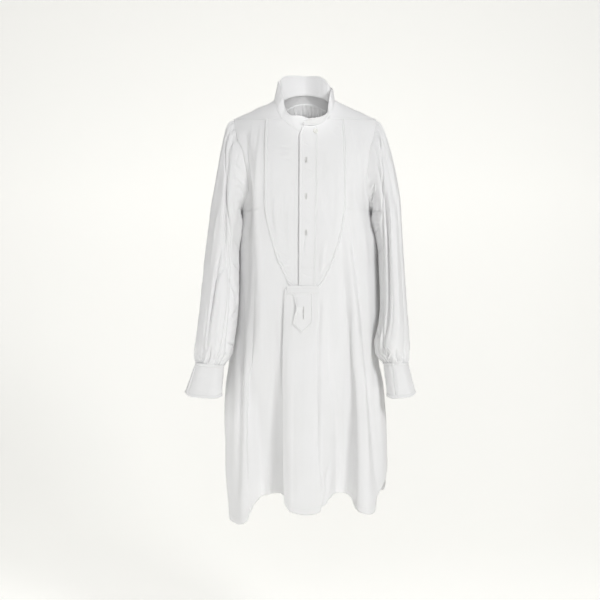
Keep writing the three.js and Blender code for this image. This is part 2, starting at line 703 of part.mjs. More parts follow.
function buildYoke() {
  const grid = [];
  for (let r = 0; r <= GRID.yokeRows; r += 1) {
    const over = (2 * r) / GRID.yokeRows - 1;
    const row = [];
    for (let c = 0; c <= GRID.yokeCols; c += 1) {
      const s = (2 * c) / GRID.yokeCols - 1;
      const face = over < 0 ? -1 : 1;
      let x = s * SHOULDER.tipX;
      let z = 0;
      for (let i = 0; i < 4; i += 1) {
        const seam = over < 0 ? frontSeamZ(x) : backSeamZ(x);
        const top = shoulderZ(x) - 0.05;
        z = top - Math.max(0, top - seam) * over * over;
        x = Math.abs(s) * armholeX(s < 0 ? -1 : 1, clamp(z, ARMHOLE_FOOT, ARMHOLE_TOP));
      }
      row.push(bodyAt(face, turnAt(x, z, face), z));
    }
    grid.push(row);
  }
  const cloth = solid(wall(grid, CLOTH));
  const hole = solid(neckHole(DOUBLE_CLOTH / 2 + 3.9 * SEAM_GAP));
  add("Shoulder_yoke", shape(cloth.subtract(hole)));
}

// Height of the neckline over x on the left and on the right half of the bib
function neckZ(x, side) {
  const rows = NECKBAND.filter((row) => row.face < 0 && row.z < 10);
  const half = side < 0 ? rows.filter((row, i) => i < 5) : rows.filter((row, i) => i >= 5);
  const sorted = [...half].sort((a, b) => a.x - b.x);
  return look(sorted, "x", "z", x);
}

function buildBibHalf(name, side) {
  const grid = [];
  for (let r = 0; r <= GRID.bibRows; r += 1) {
    const share = r / GRID.bibRows;
    const row = [];
    for (let c = 0; c <= GRID.bibCols; c += 1) {
      const s = c / GRID.bibCols;
      const inner = BIB.parting + side * 0.3;
      const level = mix(-30, BIB.foot, share);
      const outer = look(BIB_EDGES, "z", side < 0 ? "left" : "right", level);
      const x = mix(inner, outer, s);
      const top = Math.min(frontSeamZ(x) - SEAM_GAP, neckZ(x, side) - NECK_GAP);
      const z = level + (top + 30) * (1 - clamp(share / 0.5, 0, 1)) ** 2;
      const edge = look(BIB_EDGES, "z", side < 0 ? "left" : "right", z);
      row.push(onBody(-1, mix(inner, edge, s), z, BIB.out));
    }
    grid.push(row);
  }
  add(name, wall(grid, DOUBLE_CLOTH));
}

function strip(edges, top, foot, out, rows, cols, thick) {
  const grid = [];
  for (let r = 0; r <= rows; r += 1) {
    const z = mix(top, foot, r / rows);
    const row = [];
    for (let c = 0; c <= cols; c += 1) {
      const s = c / cols;
      const x = mix(look(edges, "z", "left", z), look(edges, "z", "right", z), s);
      row.push(onBody(-1, x, z, out(x, z, s)));
    }
    grid.push(row);
  }
  return wall(grid, thick);
}

function slot(x, top, foot, width) {
  const half = width / 2;
  const outline = [[x - half, foot + half], [x, foot], [x + half, foot + half]];
  outline.push([x + half, top - half], [x, top], [x - half, top - half]);
  return solid(prismAlongY(outline, -400, 0));
}

function buildPlacket() {
  const cloth = strip(PLACKET_EDGES, PLACKET.top, PLACKET.foot, () => PLACKET.out, 11, 4, DOUBLE_CLOTH);
  let cut = solid(cloth);
  for (const z of STUD_HOLES.heights) {
    const half = STUD_HOLES.length / 2;
    cut = cut.subtract(slot(STUD_HOLES.x, z + half, z - half, STUD_HOLES.width));
  }
  add("Placket", shape(cut));
}

function buildBar() {
  const edges = [
    { z: BAR.top, left: BAR.left, right: BAR.right },
    { z: BAR.foot, left: BAR.left, right: BAR.right },
  ];
  add("Bib_bar", strip(edges, BAR.top, BAR.foot, () => BAR.out, 3, 8, DOUBLE_CLOTH));
}

function buildTab() {
  const grid = [];
  const rows = 10;
  for (let r = 0; r <= rows; r += 1) {
    const z = mix(TAB.top, -531, r / rows);
    const row = [];
    for (let c = 0; c <= 7; c += 1) {
      const s = c / 7;
      const x = mix(look(TAB_EDGES, "z", "left", z), look(TAB_EDGES, "z", "right", z), s);
      const point = Math.max(0, 1 - Math.abs((x - TAB.tipX) / (x < TAB.tipX ? 21 : 24)));
      const drop = z - (-531 - TAB.tipZ) * point * ease((r / rows - 0.7) / 0.3);
      const lift = look(TAB_EDGES, "z", "lift", z) * (1 - s) ** 2;
      row.push(onBody(-1, x, drop, TAB.out + lift));
    }
    grid.push(row);
  }
  const cloth = solid(wall(grid, TAB.wall));
  add("Bib_tab", shape(cloth.subtract(slot(TAB_HOLE.x, TAB_HOLE.top, TAB_HOLE.foot, TAB_HOLE.width))));
}

function buildButton() {
  const half = BUTTON.thick / 2;
  const profile = [
    [0, -half], [BUTTON.radius * 0.8, -half], [BUTTON.radius, -half * 0.4], [BUTTON.radius, half * 0.5],
    [BUTTON.radius * 0.86, half], [BUTTON.radius * 0.6, half - BUTTON.dish], [0, half - BUTTON.dish],
  ].map(([r, h]) => new THREE.Vector2(r, h));
  const geometry = new THREE.LatheGeometry(profile, 12);
  const centre = onBody(-1, BUTTON.x, BUTTON.z, BUTTON.out);
  const normal = onBody(-1, BUTTON.x, BUTTON.z, BUTTON.out + 5).sub(centre).normalize();
  geometry.applyQuaternion(new THREE.Quaternion().setFromUnitVectors(new THREE.Vector3(0, 1, 0), normal));
  geometry.translate(centre.x, centre.y, centre.z);
  add("Neck_button", shape(solid(geometry)), PEARL, 0.35);
}

// Point of a sleeve: turn is 0 outside, 90 in front, 180 inside; along counts sections
function sleeveAt(rows, folds, turn, along) {
  const side = Math.sign(rows[0].outX);
  const table = rows.map((row, i) => ({ ...row, i }));
  const at = (column) => look(table, "i", column, along);
  const angle = radians(turn);
  const c = Math.cos(angle);
  const s = Math.sin(angle);
  const oval = (get) => {
    const flat = 1 - 0.1 * Math.sin(2 * angle) ** 2;
    const x = (get("outX") + get("inX")) / 2 + ((get("outX") - get("inX")) / 2) * c * flat;
    const z = (get("outZ") + get("inZ")) / 2 + ((get("outZ") - get("inZ")) / 2) * c * flat;
    return new THREE.Vector3(x, get("y") - get("deep") * s * flat, z);
  };
  const point = oval(at);
  const loopShare = (1 - clamp(along / 4, 0, 1)) ** 2;
  if (loopShare > 0) {
    const z = mix(ARMHOLE_FOOT, ARMHOLE_TOP, (1 + c) / 2);
    const face = s > 0 ? -1 : 1;
    const edge = bodyAt(face, turnAt(armholeX(side, z), z, face), z);
    edge.x += side * ARMHOLE_EASE;
    const first = oval((column) => rows[0][column]);
    point.add(edge.sub(first).multiplyScalar(loopShare));
  }
  let out = 0;
  for (const fold of folds) {
    const middle = (fold.from + fold.to) / 2;
    const reach = (fold.to - fold.from) / 2;
    const line = fold.turn + fold.drift * ((along - fold.from) / (fold.to - fold.from));
    const away = Math.abs(((turn - line + 540) % 360) - 180);
    out += fold.deep * bump(away, fold.width) * bump(along - middle, reach) ** 0.6;
  }
  const fromTop = Math.abs(((turn + 180) % 360) - 180);
  const head = Math.sin((turn / HEAD_PLEATS.spacing) * 2 * Math.PI) * HEAD_PLEATS.deep;
  out += head * (1 - ease((fromTop - HEAD_PLEATS.reach + 15) / 15)) * bump(along - 1, HEAD_PLEATS.to - 1);
  const last = rows.length - 1;
  const wrist = Math.sin((turn / WRIST_GATHERS.spacing) * 2 * Math.PI) * WRIST_GATHERS.deep;
  const held = 1 - 0.75 * ease((along - last + 1) / 1);
  out += wrist * ease((along - WRIST_GATHERS.from) / (last - WRIST_GATHERS.from)) * held;
  const radial = new THREE.Vector3(
    ((at("outX") - at("inX")) / 2) * c, -at("deep") * s, ((at("outZ") - at("inZ")) / 2) * c,
  ).normalize();
  return point.addScaledVector(radial, out);
}

function buildSleeve(name, gussetName, rows, folds, cuff) {
  const last = rows.length - 1;
  const grid = [];
  for (let r = 0; r <= GRID.sleeveRows; r += 1) {
    const s = r / GRID.sleeveRows;
    const along = s * last;
    const row = [];
    for (let c = 0; c < GRID.sleeveCols; c += 1) row.push(sleeveAt(rows, folds, (360 * c) / GRID.sleeveCols, along));
    grid.push(row);
  }
  const cloth = solid(wall(grid, CLOTH, true));
  const triangle = (margin, top, thick) => {
    const points = [];
    const steps = 7;
    for (let r = 0; r <= steps; r += 1) {
      const s = mix(top, 1 + margin * 0.02, r / steps);
      const half = GUSSET.turns * (1 - clamp(s, 0, 0.97)) + margin;
      const row = [];
      for (let c = 0; c <= 6; c += 1) {
        const point = sleeveAt(rows, [], 180 + (c / 3 - 1) * half, clamp(s, 0, 1.1) * GUSSET.depth);
        if (s < 0) point.z += 6;
        row.push(point);
      }
      points.push(row);
    }
    return solid(wall(points, thick));
  };
  const slit = sleeveAt(rows, folds, cuff.opening, last);
  const slitTop = sleeveAt(rows, folds, cuff.opening, last - 2.2);
  const slitBox = new THREE.BoxGeometry(WRIST_SLIT.width, 24, WRIST_SLIT.length);
  slitBox.translate(mix(slit.x, slitTop.x, 0.5), slit.y - 2, slit.z + WRIST_SLIT.length / 2 - 3);
  const gusset = triangle(0, 0.02, CLOTH);
  let sleeve = cloth.subtract(triangle(GUSSET.seam, -0.1, 12)).subtract(solid(slitBox));
  for (const [x, y] of [[0, 0], [1, 0], [-1, 0], [0, 1], [0, -1]]) {
    sleeve = sleeve.subtract(gusset.translate([x * SEAM_GAP, y * SEAM_GAP, 0]));
  }
  add(name, shape(sleeve));
  add(gussetName, shape(gusset));
}

function buildCuff(name, cuff) {
  const grid = [];
  const rows = GRID.cuffRows;
  const whole = 360 + CUFF.overlap;
  const girth = 2 * Math.PI * 42;
  for (let r = 0; r <= rows; r += 1) {
    const row = [];
    for (let c = 0; c <= GRID.cuffCols; c += 1) {
      const u = c / GRID.cuffCols;
      const turn = cuff.opening - cuff.way * CUFF.overlap * 0.5 + cuff.way * u * whole;
      const fromEnd = Math.min(u, 1 - u) * girth * (whole / 360);
      const k = clamp(1 - fromEnd / CUFF.corner, 0, 1);
      const cut = (CUFF.corner * (1 - Math.sqrt(1 - k * k))) / 84;
      const s = (r / rows) * (1 - cut * 0.9);
      const outX = mix(cuff.outX, cuff.footOutX, s);
      const outZ = mix(cuff.outZ, cuff.footOutZ, s);
      const inX = mix(cuff.inX, cuff.footInX, s);
      const inZ = mix(cuff.inZ, cuff.footInZ, s);
      const deep = mix(cuff.deep, cuff.footDeep, s) + CUFF.spiral * (1 - 2 * u);
      const reach = Math.hypot(outX - inX, outZ - inZ) / 2;
      const grow = (reach + CUFF.spiral * (1 - 2 * u)) / reach;
      const cos = Math.cos(radians(turn)) * grow;
      const x = (outX + inX) / 2 + ((outX - inX) / 2) * cos;
      const rise = CUFF.sideRise * s * Math.cos(radians(turn)) ** 6;
      const z = (outZ + inZ) / 2 + ((outZ - inZ) / 2) * cos + rise;
      row.push(new THREE.Vector3(x, mix(cuff.y, cuff.footY, s) - deep * Math.sin(radians(turn)), z));
    }
    grid.push(row);
  }
  add(name, wall(grid, DOUBLE_CLOTH));
}

buildFront();
buildBack();
buildYoke();
buildBibHalf("Bib_left", -1);
buildBibHalf("Bib_right", 1);
buildPlacket();
buildBar();
buildTab();
buildNeckband();
buildButton();
buildSleeve("Sleeve_left", "Gusset_left", LEFT_SLEEVE, LEFT_SLEEVE_FOLDS, LEFT_CUFF);
buildSleeve("Sleeve_right", "Gusset_right", RIGHT_SLEEVE, RIGHT_SLEEVE_FOLDS, RIGHT_CUFF);
buildCuff("Cuff_left", LEFT_CUFF);
buildCuff("Cuff_right", RIGHT_CUFF);

export default nightshirt;
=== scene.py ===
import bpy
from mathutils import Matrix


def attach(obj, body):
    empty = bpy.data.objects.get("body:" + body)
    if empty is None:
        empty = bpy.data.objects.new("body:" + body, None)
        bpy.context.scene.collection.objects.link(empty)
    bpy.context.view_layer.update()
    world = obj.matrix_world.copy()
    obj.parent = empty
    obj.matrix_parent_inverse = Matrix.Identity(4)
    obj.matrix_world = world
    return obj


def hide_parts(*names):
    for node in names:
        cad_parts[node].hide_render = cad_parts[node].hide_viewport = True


bl_info = {
    "name": "Bib-front nightshirt",
    "version": (1, 0, 0),
    "blender": (4, 5, 0),
    "location": "3D View > Sidebar > Nightshirt",
    "description": "Cloth, sewing and stage of a white cotton nightshirt, over its solid frame",
    "category": "Object",
}

import math

import bpy
import numpy as np
from mathutils import Vector

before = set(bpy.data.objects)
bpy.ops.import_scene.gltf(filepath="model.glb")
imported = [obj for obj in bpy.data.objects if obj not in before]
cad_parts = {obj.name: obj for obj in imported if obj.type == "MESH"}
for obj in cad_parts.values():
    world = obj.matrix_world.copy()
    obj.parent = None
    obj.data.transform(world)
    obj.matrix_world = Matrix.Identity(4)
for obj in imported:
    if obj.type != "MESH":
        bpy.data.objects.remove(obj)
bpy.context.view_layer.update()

MM = 0.001
FRONT, BACK = -1, 1


def table(columns, *rows):
    """A short table with named columns."""
    names = columns.split()
    return {name: np.array([row[i] for row in rows], float) for i, name in enumerate(names)}


# Shoulder line over x, and how far the front and the back take to round over it
SHOULDER_PEAK = 60.2
SHOULDER_SLOPE = 0.46
SHOULDER_ROUND = 30.0
SHOULDER_TIP = 178.0
NAPE_RISE = 20.0
NAPE_HALF = 48.0
ROUND_OVER = {FRONT: 200.0, BACK: 92.0}
SECTION_POWER = 2.5

# Sections of the body by height: half widths, depths and the side seam's y
BODY = table(
    "z left right front back seam_y",
    (70, 186, 186, 94, 92, 8), (-30, 184, 184, 100, 96, 8), (-100, 178, 180, 110, 102, 8),
    (-160, 170, 174, 115, 106, 9), (-210, 161, 166, 122, 104, 14), (-256, 160, 165.5, 134, 95, 26),
    (-275, 161.5, 168, 141, 88, 33), (-293, 163.5, 172, 149, 82, 40), (-330, 167, 184, 159, 75, 50),
    (-392, 169, 187, 168, 71, 58), (-450, 172, 190, 173, 70, 61), (-505, 175, 191, 174, 73, 61),
    (-560, 179, 185, 174, 78, 60), (-620, 188, 186, 169, 87, 55), (-690, 201, 199, 159, 99, 46),
    (-760, 203, 204, 149, 109, 38), (-890, 197, 207, 134, 122, 27), (-1010, 191, 207, 124, 130, 22),
)
ARMHOLE_TOP = -24.0
ARMHOLE_FOOT = -256.0
ARMHOLE = table(
    "z inset", (-24, 6), (-73, 12), (-112, 21), (-161, 20), (-204, 13), (-236, 5), (-256, 0)
)

# Long folds of the front and of the back at the hem, and how they grow downward
LONG_FOLDS = {
    FRONT: table(
        "x out",
        (-206, 0), (-178, 12), (-152, 30), (-134, 26), (-120, -8), (-104, -40), (-76, -48),
        (-56, -40), (-45, -2), (-30, 32), (4, 42), (38, 30), (58, -6), (76, -42), (98, -44),
        (113, -18), (126, 20), (148, 34), (172, 18), (208, 0),
    ),
    BACK: table(
        "x out",
        (-206, 0), (-170, 14), (-146, 24), (-112, -26), (-84, -34), (-46, 24), (-10, 30), (26, -14),
        (56, -34), (92, 12), (122, 28), (152, -10), (180, 8), (208, 0),
    ),
}
FOLD_GROWTH = table(
    "z share", (-260, 0), (-420, 0.05), (-560, 0.2), (-700, 0.42), (-850, 0.72), (-1000, 1)
)
HEM = {
    FRONT: table(
        "x z",
        (-206, -1012), (-188, -1018), (-168, -1019), (-150, -1014), (-140, -1007), (-131, -986),
        (-121, -967), (-104, -954), (-62, -947), (-45, -962), (-30, -978), (4, -983), (30, -978),
        (52, -958), (72, -946), (98, -948), (110, -958), (120, -976), (134, -985), (158, -990),
        (176, -987), (208, -978),
    ),
    BACK: table(
        "x z",
        (-206, -976), (-146, -988), (-90, -972), (-20, -986), (56, -970), (122, -984), (180, -968),
        (208, -962),
    ),
}
LEVELS = {
    FRONT: table(
        "share z", (0, -30), (0.12, -92), (0.3, -256), (0.5, -446), (0.75, -720), (1, -985)
    ),
    BACK: table(
        "share z", (0, -20), (0.1, -70), (0.3, -256), (0.5, -450), (0.75, -720), (1, -978)
    ),
}
VENT_TOP = -850.0
VENT_SPREAD = 9.0
VENT_FRONT_RIGHT = 26.0
VENT_CORNER = 16.0

# Box pleat under the bib
PLEAT_LAYER = 2.9
PLEAT_UNDERLAP = 22.0
PLEAT_EDGES = table(
    "z left right", (-440, -45, 29), (-600, -49, 27), (-800, -48, 28), (-1000, -44, 40)
)

# Bib, placket, bar and tab
BIB_FOOT = -446.0
BIB_PARTING = 10.0
BIB_OVER_FRONT = 9.0
BIB_OUT = 2.2
BIB_ROLL = 1.2
BIB_EDGES = table(
    "z left right",
    (-10, -96, 93), (-100, -98, 97), (-236, -98, 98), (-272, -95, 95), (-313, -86, 88),
    (-375, -68, 70), (-415, -50, 53), (-436, -40, 41), (-446, -33, 32),
)
PLACKET_TOP = -56.8
PLACKET_FOOT = -444.5
PLACKET_OUT = 4.6
PLACKET_GROOVE = 2.4
PLACKET_EDGES = table(
    "z left right", (-55, -5, 30), (-84, -13, 30), (-240, -14, 29), (-445, -15, 24)
)
STUD_HOLES = table("x z", (2, -140), (2, -227), (2, -314))
BAR = {"left": -41.0, "right": 30.0, "top": -445.5, "foot": -461.0, "out": 8.6, "under": 4.0}
TAB_OUT = 6.3
TAB_EDGES = table(
    "z left right lift",
    (-447, -38, 17, 0), (-463, -29, 17, 0.1), (-481, -23, 17, 4), (-495, -20, 17, 8),
    (-511, -24, 17, 5), (-531, -29, 16, 3),
)
TAB_TIP = (-8.0, -555.0)
TAB_HOLE = (-5.0, -491.0, -521.0)

# Neckband: its seam along the neckline, and how far its top leans out and rises
NECKBAND = table(
    "x z face out lean rise",
    (9, -69, -1, 1.4, -9, 33), (-14, -67, -1, 1.4, -9, 38), (-37, -53, -1, 1.4, -6, 26),
    (-57, -30, -1, 1, -13, 24), (-70, 0, -1, 0.5, -17, 33), (-77, 21, -1, 0, -11, 47),
    (-68, 23, 1, 0, -3, 57), (-56, 31, 1, 0, -1, 60), (-38, 41, 1, 0, 0, 55), (0, 50, 1, 0, 1, 48),
    (38, 41, 1, 0, 0, 52), (56, 31, 1, 0, -1, 49), (67, 23, 1, 0, -2, 42), (74, 23, -1, 0, -5, 29),
    (68, -2, -1, 0.5, -7, 40), (60, -22, -1, 1.6, -5, 25), (48, -40, -1, 3.6, 5, 16),
    (23, -53, -1, 6.5, 14, 14), (-4, -54, -1, 7.5, 16, 12),
)
BAND_CREASES = table(
    "place width deep",
    (0.17, 0.02, -1.3), (0.21, 0.02, 0.9), (0.25, 0.015, -0.8), (0.74, 0.014, -1.3),
    (0.79, 0.012, 1), (0.3, 0.02, -0.8), (0.6, 0.03, 0.7),
)
NECK_MIDDLE = np.array([0.0, -8.0, 0.0])
NECK_GAP = 1.3
STITCH_SINK = 0.05
YOKE_TUCK = 3.0
BAND_TUCK = 2.4
BUTTON = {"x": 24.0, "z": -70.0, "radius": 6.2, "thick": 2.4, "out": 7.0}
BUTTON_PROFILE = table(
    "out high",
    (0, 0.25), (0.35, 0.2), (0.6, 0.3), (0.74, 0.85), (0.84, 1), (0.94, 0.85), (1, 0.2),
    (0.98, -0.5), (0.8, -1), (0, -1),
)
THREAD_RUN = np.linspace(-1.5, 1.5, 6)

# Sleeves: outer and inner lines from the front, middle y and half depth, section by section
SLEEVES = {
    "left": table(
        "out_x out_z in_x in_z y deep",
        (-179, -24, -151, -256, 9, 64), (-193, -40, -155, -264, 5, 66),
        (-205, -82, -154, -272, 1, 68), (-214, -128, -153, -282, -4, 69),
        (-223, -182, -154, -295, -10, 69), (-232, -236, -157, -315, -15, 69),
        (-240, -300, -162, -345, -20, 69), (-247, -362, -163, -385, -26, 68),
        (-252, -420, -163, -428, -32, 67), (-258, -482, -164, -484, -38, 65),
        (-264, -540, -169, -540, -44, 62), (-267, -582, -174, -580, -49, 56),
        (-268, -604, -179, -603, -51, 48), (-267, -618, -189, -621, -53, 41.5),
        (-267, -628, -198, -634, -54, 37),
    ),
    "right": table(
        "out_x out_z in_x in_z y deep",
        (179, -24, 157, -256, 9, 64), (193, -44, 163.5, -264, 5, 66), (207, -82, 162, -271, 1, 68),
        (218, -122, 164, -279, -4, 69), (228, -170, 168, -291, -10, 69),
        (236, -226, 173, -310, -15, 69), (240, -292, 178.5, -338, -20, 69),
        (243, -360, 182, -380, -26, 68), (246, -420, 184, -428, -32, 66),
        (250, -482, 185, -484, -38, 64), (254, -536, 180, -536, -44, 61),
        (256, -580, 170, -577, -49, 55), (255, -602, 173, -602, -51, 48),
        (252, -616, 183, -618, -53, 42), (251, -628, 192, -629, -54, 38),
    ),
}
SLEEVE_FOLDS = {
    "left": table(
        "turn drift width deep start end",
        (50, 76, 16, -15, 0.6, 8.6), (28, -6, 12, 3, 1, 7), (96, -34, 11, -10, 6, 10.5),
        (132, 10, 13, -9, 6.5, 12.5), (122, 10, 14, 4, 1.5, 6), (214, 8, 16, -8, 2, 10),
        (262, -10, 15, -8, 1, 9), (304, 8, 15, -7, 3, 12),
    ),
    "right": table(
        "turn drift width deep start end",
        (84, 54, 16, -17, 0.8, 13), (34, 8, 13, 5, 1, 10), (128, 16, 13, 4, 1.5, 7),
        (160, -6, 11, -8, 8, 13), (212, 8, 16, -8, 2, 11), (258, -8, 15, -9, 1, 10),
        (306, 10, 15, -7, 3, 12),
    ),
}
ARMHOLE_EASE = 2.0
HEAD_PLEATS = {"spacing": 20.0, "reach": 70.0, "deep": 3.0, "to": 2.6}
WRIST_GATHERS = {"spacing": 30.0, "deep": 3.2, "start": 10.5}
GUSSET_TURNS = 34.0
GUSSET_DEPTH = 4.6

# Cuffs, from the wrist seam to the foot, and the turn at which the ends lap
CUFFS = {
    "left": table(
        "out_x out_z in_x in_z y deep",
        (-267, -627, -199, -633, -54, 35), (-292, -708, -203, -715, -58, 41),
    ),
    "right": table(
        "out_x out_z in_x in_z y deep",
        (250.5, -627, 192.5, -628, -54, 36), (268, -708, 200.5, -715, -58, 41),
    ),
}
CUFF_OPENING = {"left": 40.0, "right": 122.0}
CUFF_OVERLAP = 30.0
CUFF_DEPTH = 84.0
CUFF_RADIUS = 42.0
CUFF_SPIRAL = 1.15
CUFF_CORNER = 13.0
CUFF_SIDE_RISE = 9.0

# How creases thin out to their ends
CREASE_TAPER = 0.7

# Creases of the front: from and to in x and z, width, depth (trough below 0) and bow, in mm
FRONT_CREASES = table(
    "x0 z0 x1 z1 width deep bow",
    (-124, -400, -133, -1000, 20, -9, 4), (86, -290, 110, -1000, 21, -13, -9),
    (96, -190, 178, -980, 20, -14, -12), (112, -190, 150, -420, 14, 4, -8),
    (-79, -500, -72, -985, 34, -5, -4), (37, -452, 24, -600, 8, -3, -3),
    (-53, -440, -51, -1010, 7.5, -9, 3), (36, -470, 34, -940, 9, -5.5, 4),
    (60, -455, 62, -720, 18, -4.5, 6), (-64, -440, -58, -760, 14, 3, -5),
    (-100, -420, -108, -760, 14, 3, 4), (-147, -60, -143, -350, 27, -15, -3),
    (-116, -90, -118, -330, 13, 4, 3), (-112, -36, -122, -170, 8, -2.2, 3),
    (-128, -40, -138, -120, 7, 1.6, 0), (-106, -34, -106, -130, 6, -1.2, 0),
    (132, -45, 140, -130, 9, 2, -3), (118, -46, 128, -180, 9, -2.6, -4),
    (146, -110, 158, -300, 16, -5, 3), (124, -150, 116, -340, 14, 3, 4),
    (108, -44, 104, -160, 8, 1.6, 2), (-118, -300, -112, -460, 14, 3.5, -4),
    (-140, -330, -150, -560, 12, -5, -3), (136, -250, 150, -520, 13, -5, 4),
    (8, -560, 2, -900, 18, 2.5, 5), (-22, -590, -26, -980, 12, -2.4, 3),
    (22, -640, 20, -950, 10, -2.4, -3), (140, -470, 152, -900, 10, 3, 3),
    (-156, -400, -168, -1000, 16, -12, -3), (-186, -560, -192, -980, 12, 4, 0),
    (166, -480, 186, -900, 12, -4, 3), (58, -860, 30, -1000, 9, -12, -6),
    (38, -880, 50, -1000, 9, 6, 0), (-92, -860, -82, -990, 10, 3, 2),
    (84, -840, 92, -990, 12, -3, 2), (-36, -560, -40, -700, 6, 1.6, 0),
    (70, -600, 84, -760, 10, 2.2, 3), (-70, -620, -84, -840, 12, -2.4, 3),
    (-142, -640, -140, -820, 9, 2.6, 0),
)
BACK_CREASES = table(
    "x0 z0 x1 z1 width deep bow",
    (-30, -60, -48, -420, 14, -4, 5), (24, -60, 40, -460, 14, -4, -5), (0, -90, -6, -520, 18, 3, 3),
    (-120, -120, -96, -380, 16, -4, 8), (126, -130, 100, -400, 16, -4, -8),
    (-84, -300, -86, -820, 18, -6, -4), (58, -320, 56, -850, 18, -6, 4),
    (-130, -420, -140, -900, 14, 4, 4), (122, -440, 128, -900, 14, 4, -4),
    (-10, -480, -14, -930, 14, 3, 4), (150, -560, 156, -930, 11, -4, 3),
    (-160, -600, -166, -930, 10, -3, 3),
)
BIB_CREASES = table(
    "x0 z0 x1 z1 width deep bow",
    (-80, -346, -40, -376, 6, -3.4, 4), (-78, -362, -34, -398, 6, 2.8, 4),
    (-64, -392, -30, -418, 5, -2.4, 2), (-52, -412, -30, -436, 4.5, -2.2, 1),
    (-72, -225, -58, -350, 9, 2.4, 5), (-54, -215, -46, -345, 8, -2, 4),
    (-38, -240, -34, -360, 8, 1.8, 3), (-66, -104, -36, -110, 4, -1.2, 1),
    (-64, -118, -38, -124, 4, -1.1, 1), (-62, -132, -34, -140, 4.5, -1.2, -1),
    (74, -32, 96, -48, 4, -1.3, 1), (70, -46, 94, -64, 4.5, -1.2, 1), (66, -62, 90, -80, 5, 1.1, 1),
    (44, -120, 60, -300, 14, -1.8, 6), (76, -150, 70, -330, 12, 1.8, -6),
    (-84, -130, -80, -300, 12, -1.6, 4), (48, -330, 40, -430, 9, 1.8, 3),
    (-22, -150, -26, -300, 7, -1.2, 2), (60, -380, 36, -420, 6, -1.6, 3),
)
PLACKET_CREASES = table(
    "x0 z0 x1 z1 width deep bow",
    (2, -314, -4, -374, 5, -1.3, 2), (-8, -96, 12, -108, 3.5, -0.7, 0),
    (-6, -160, 18, -168, 3.5, -0.7, 1), (0, -186, 22, -178, 3.5, 0.6, 0),
    (-8, -206, 12, -214, 4, -0.7, 0), (2, -248, 22, -262, 4, -0.7, 1),
    (-6, -282, 10, -292, 3.5, 0.6, 0), (10, -340, 24, -352, 4, -0.7, 0),
    (-10, -410, 14, -420, 4, 0.7, 1),
)
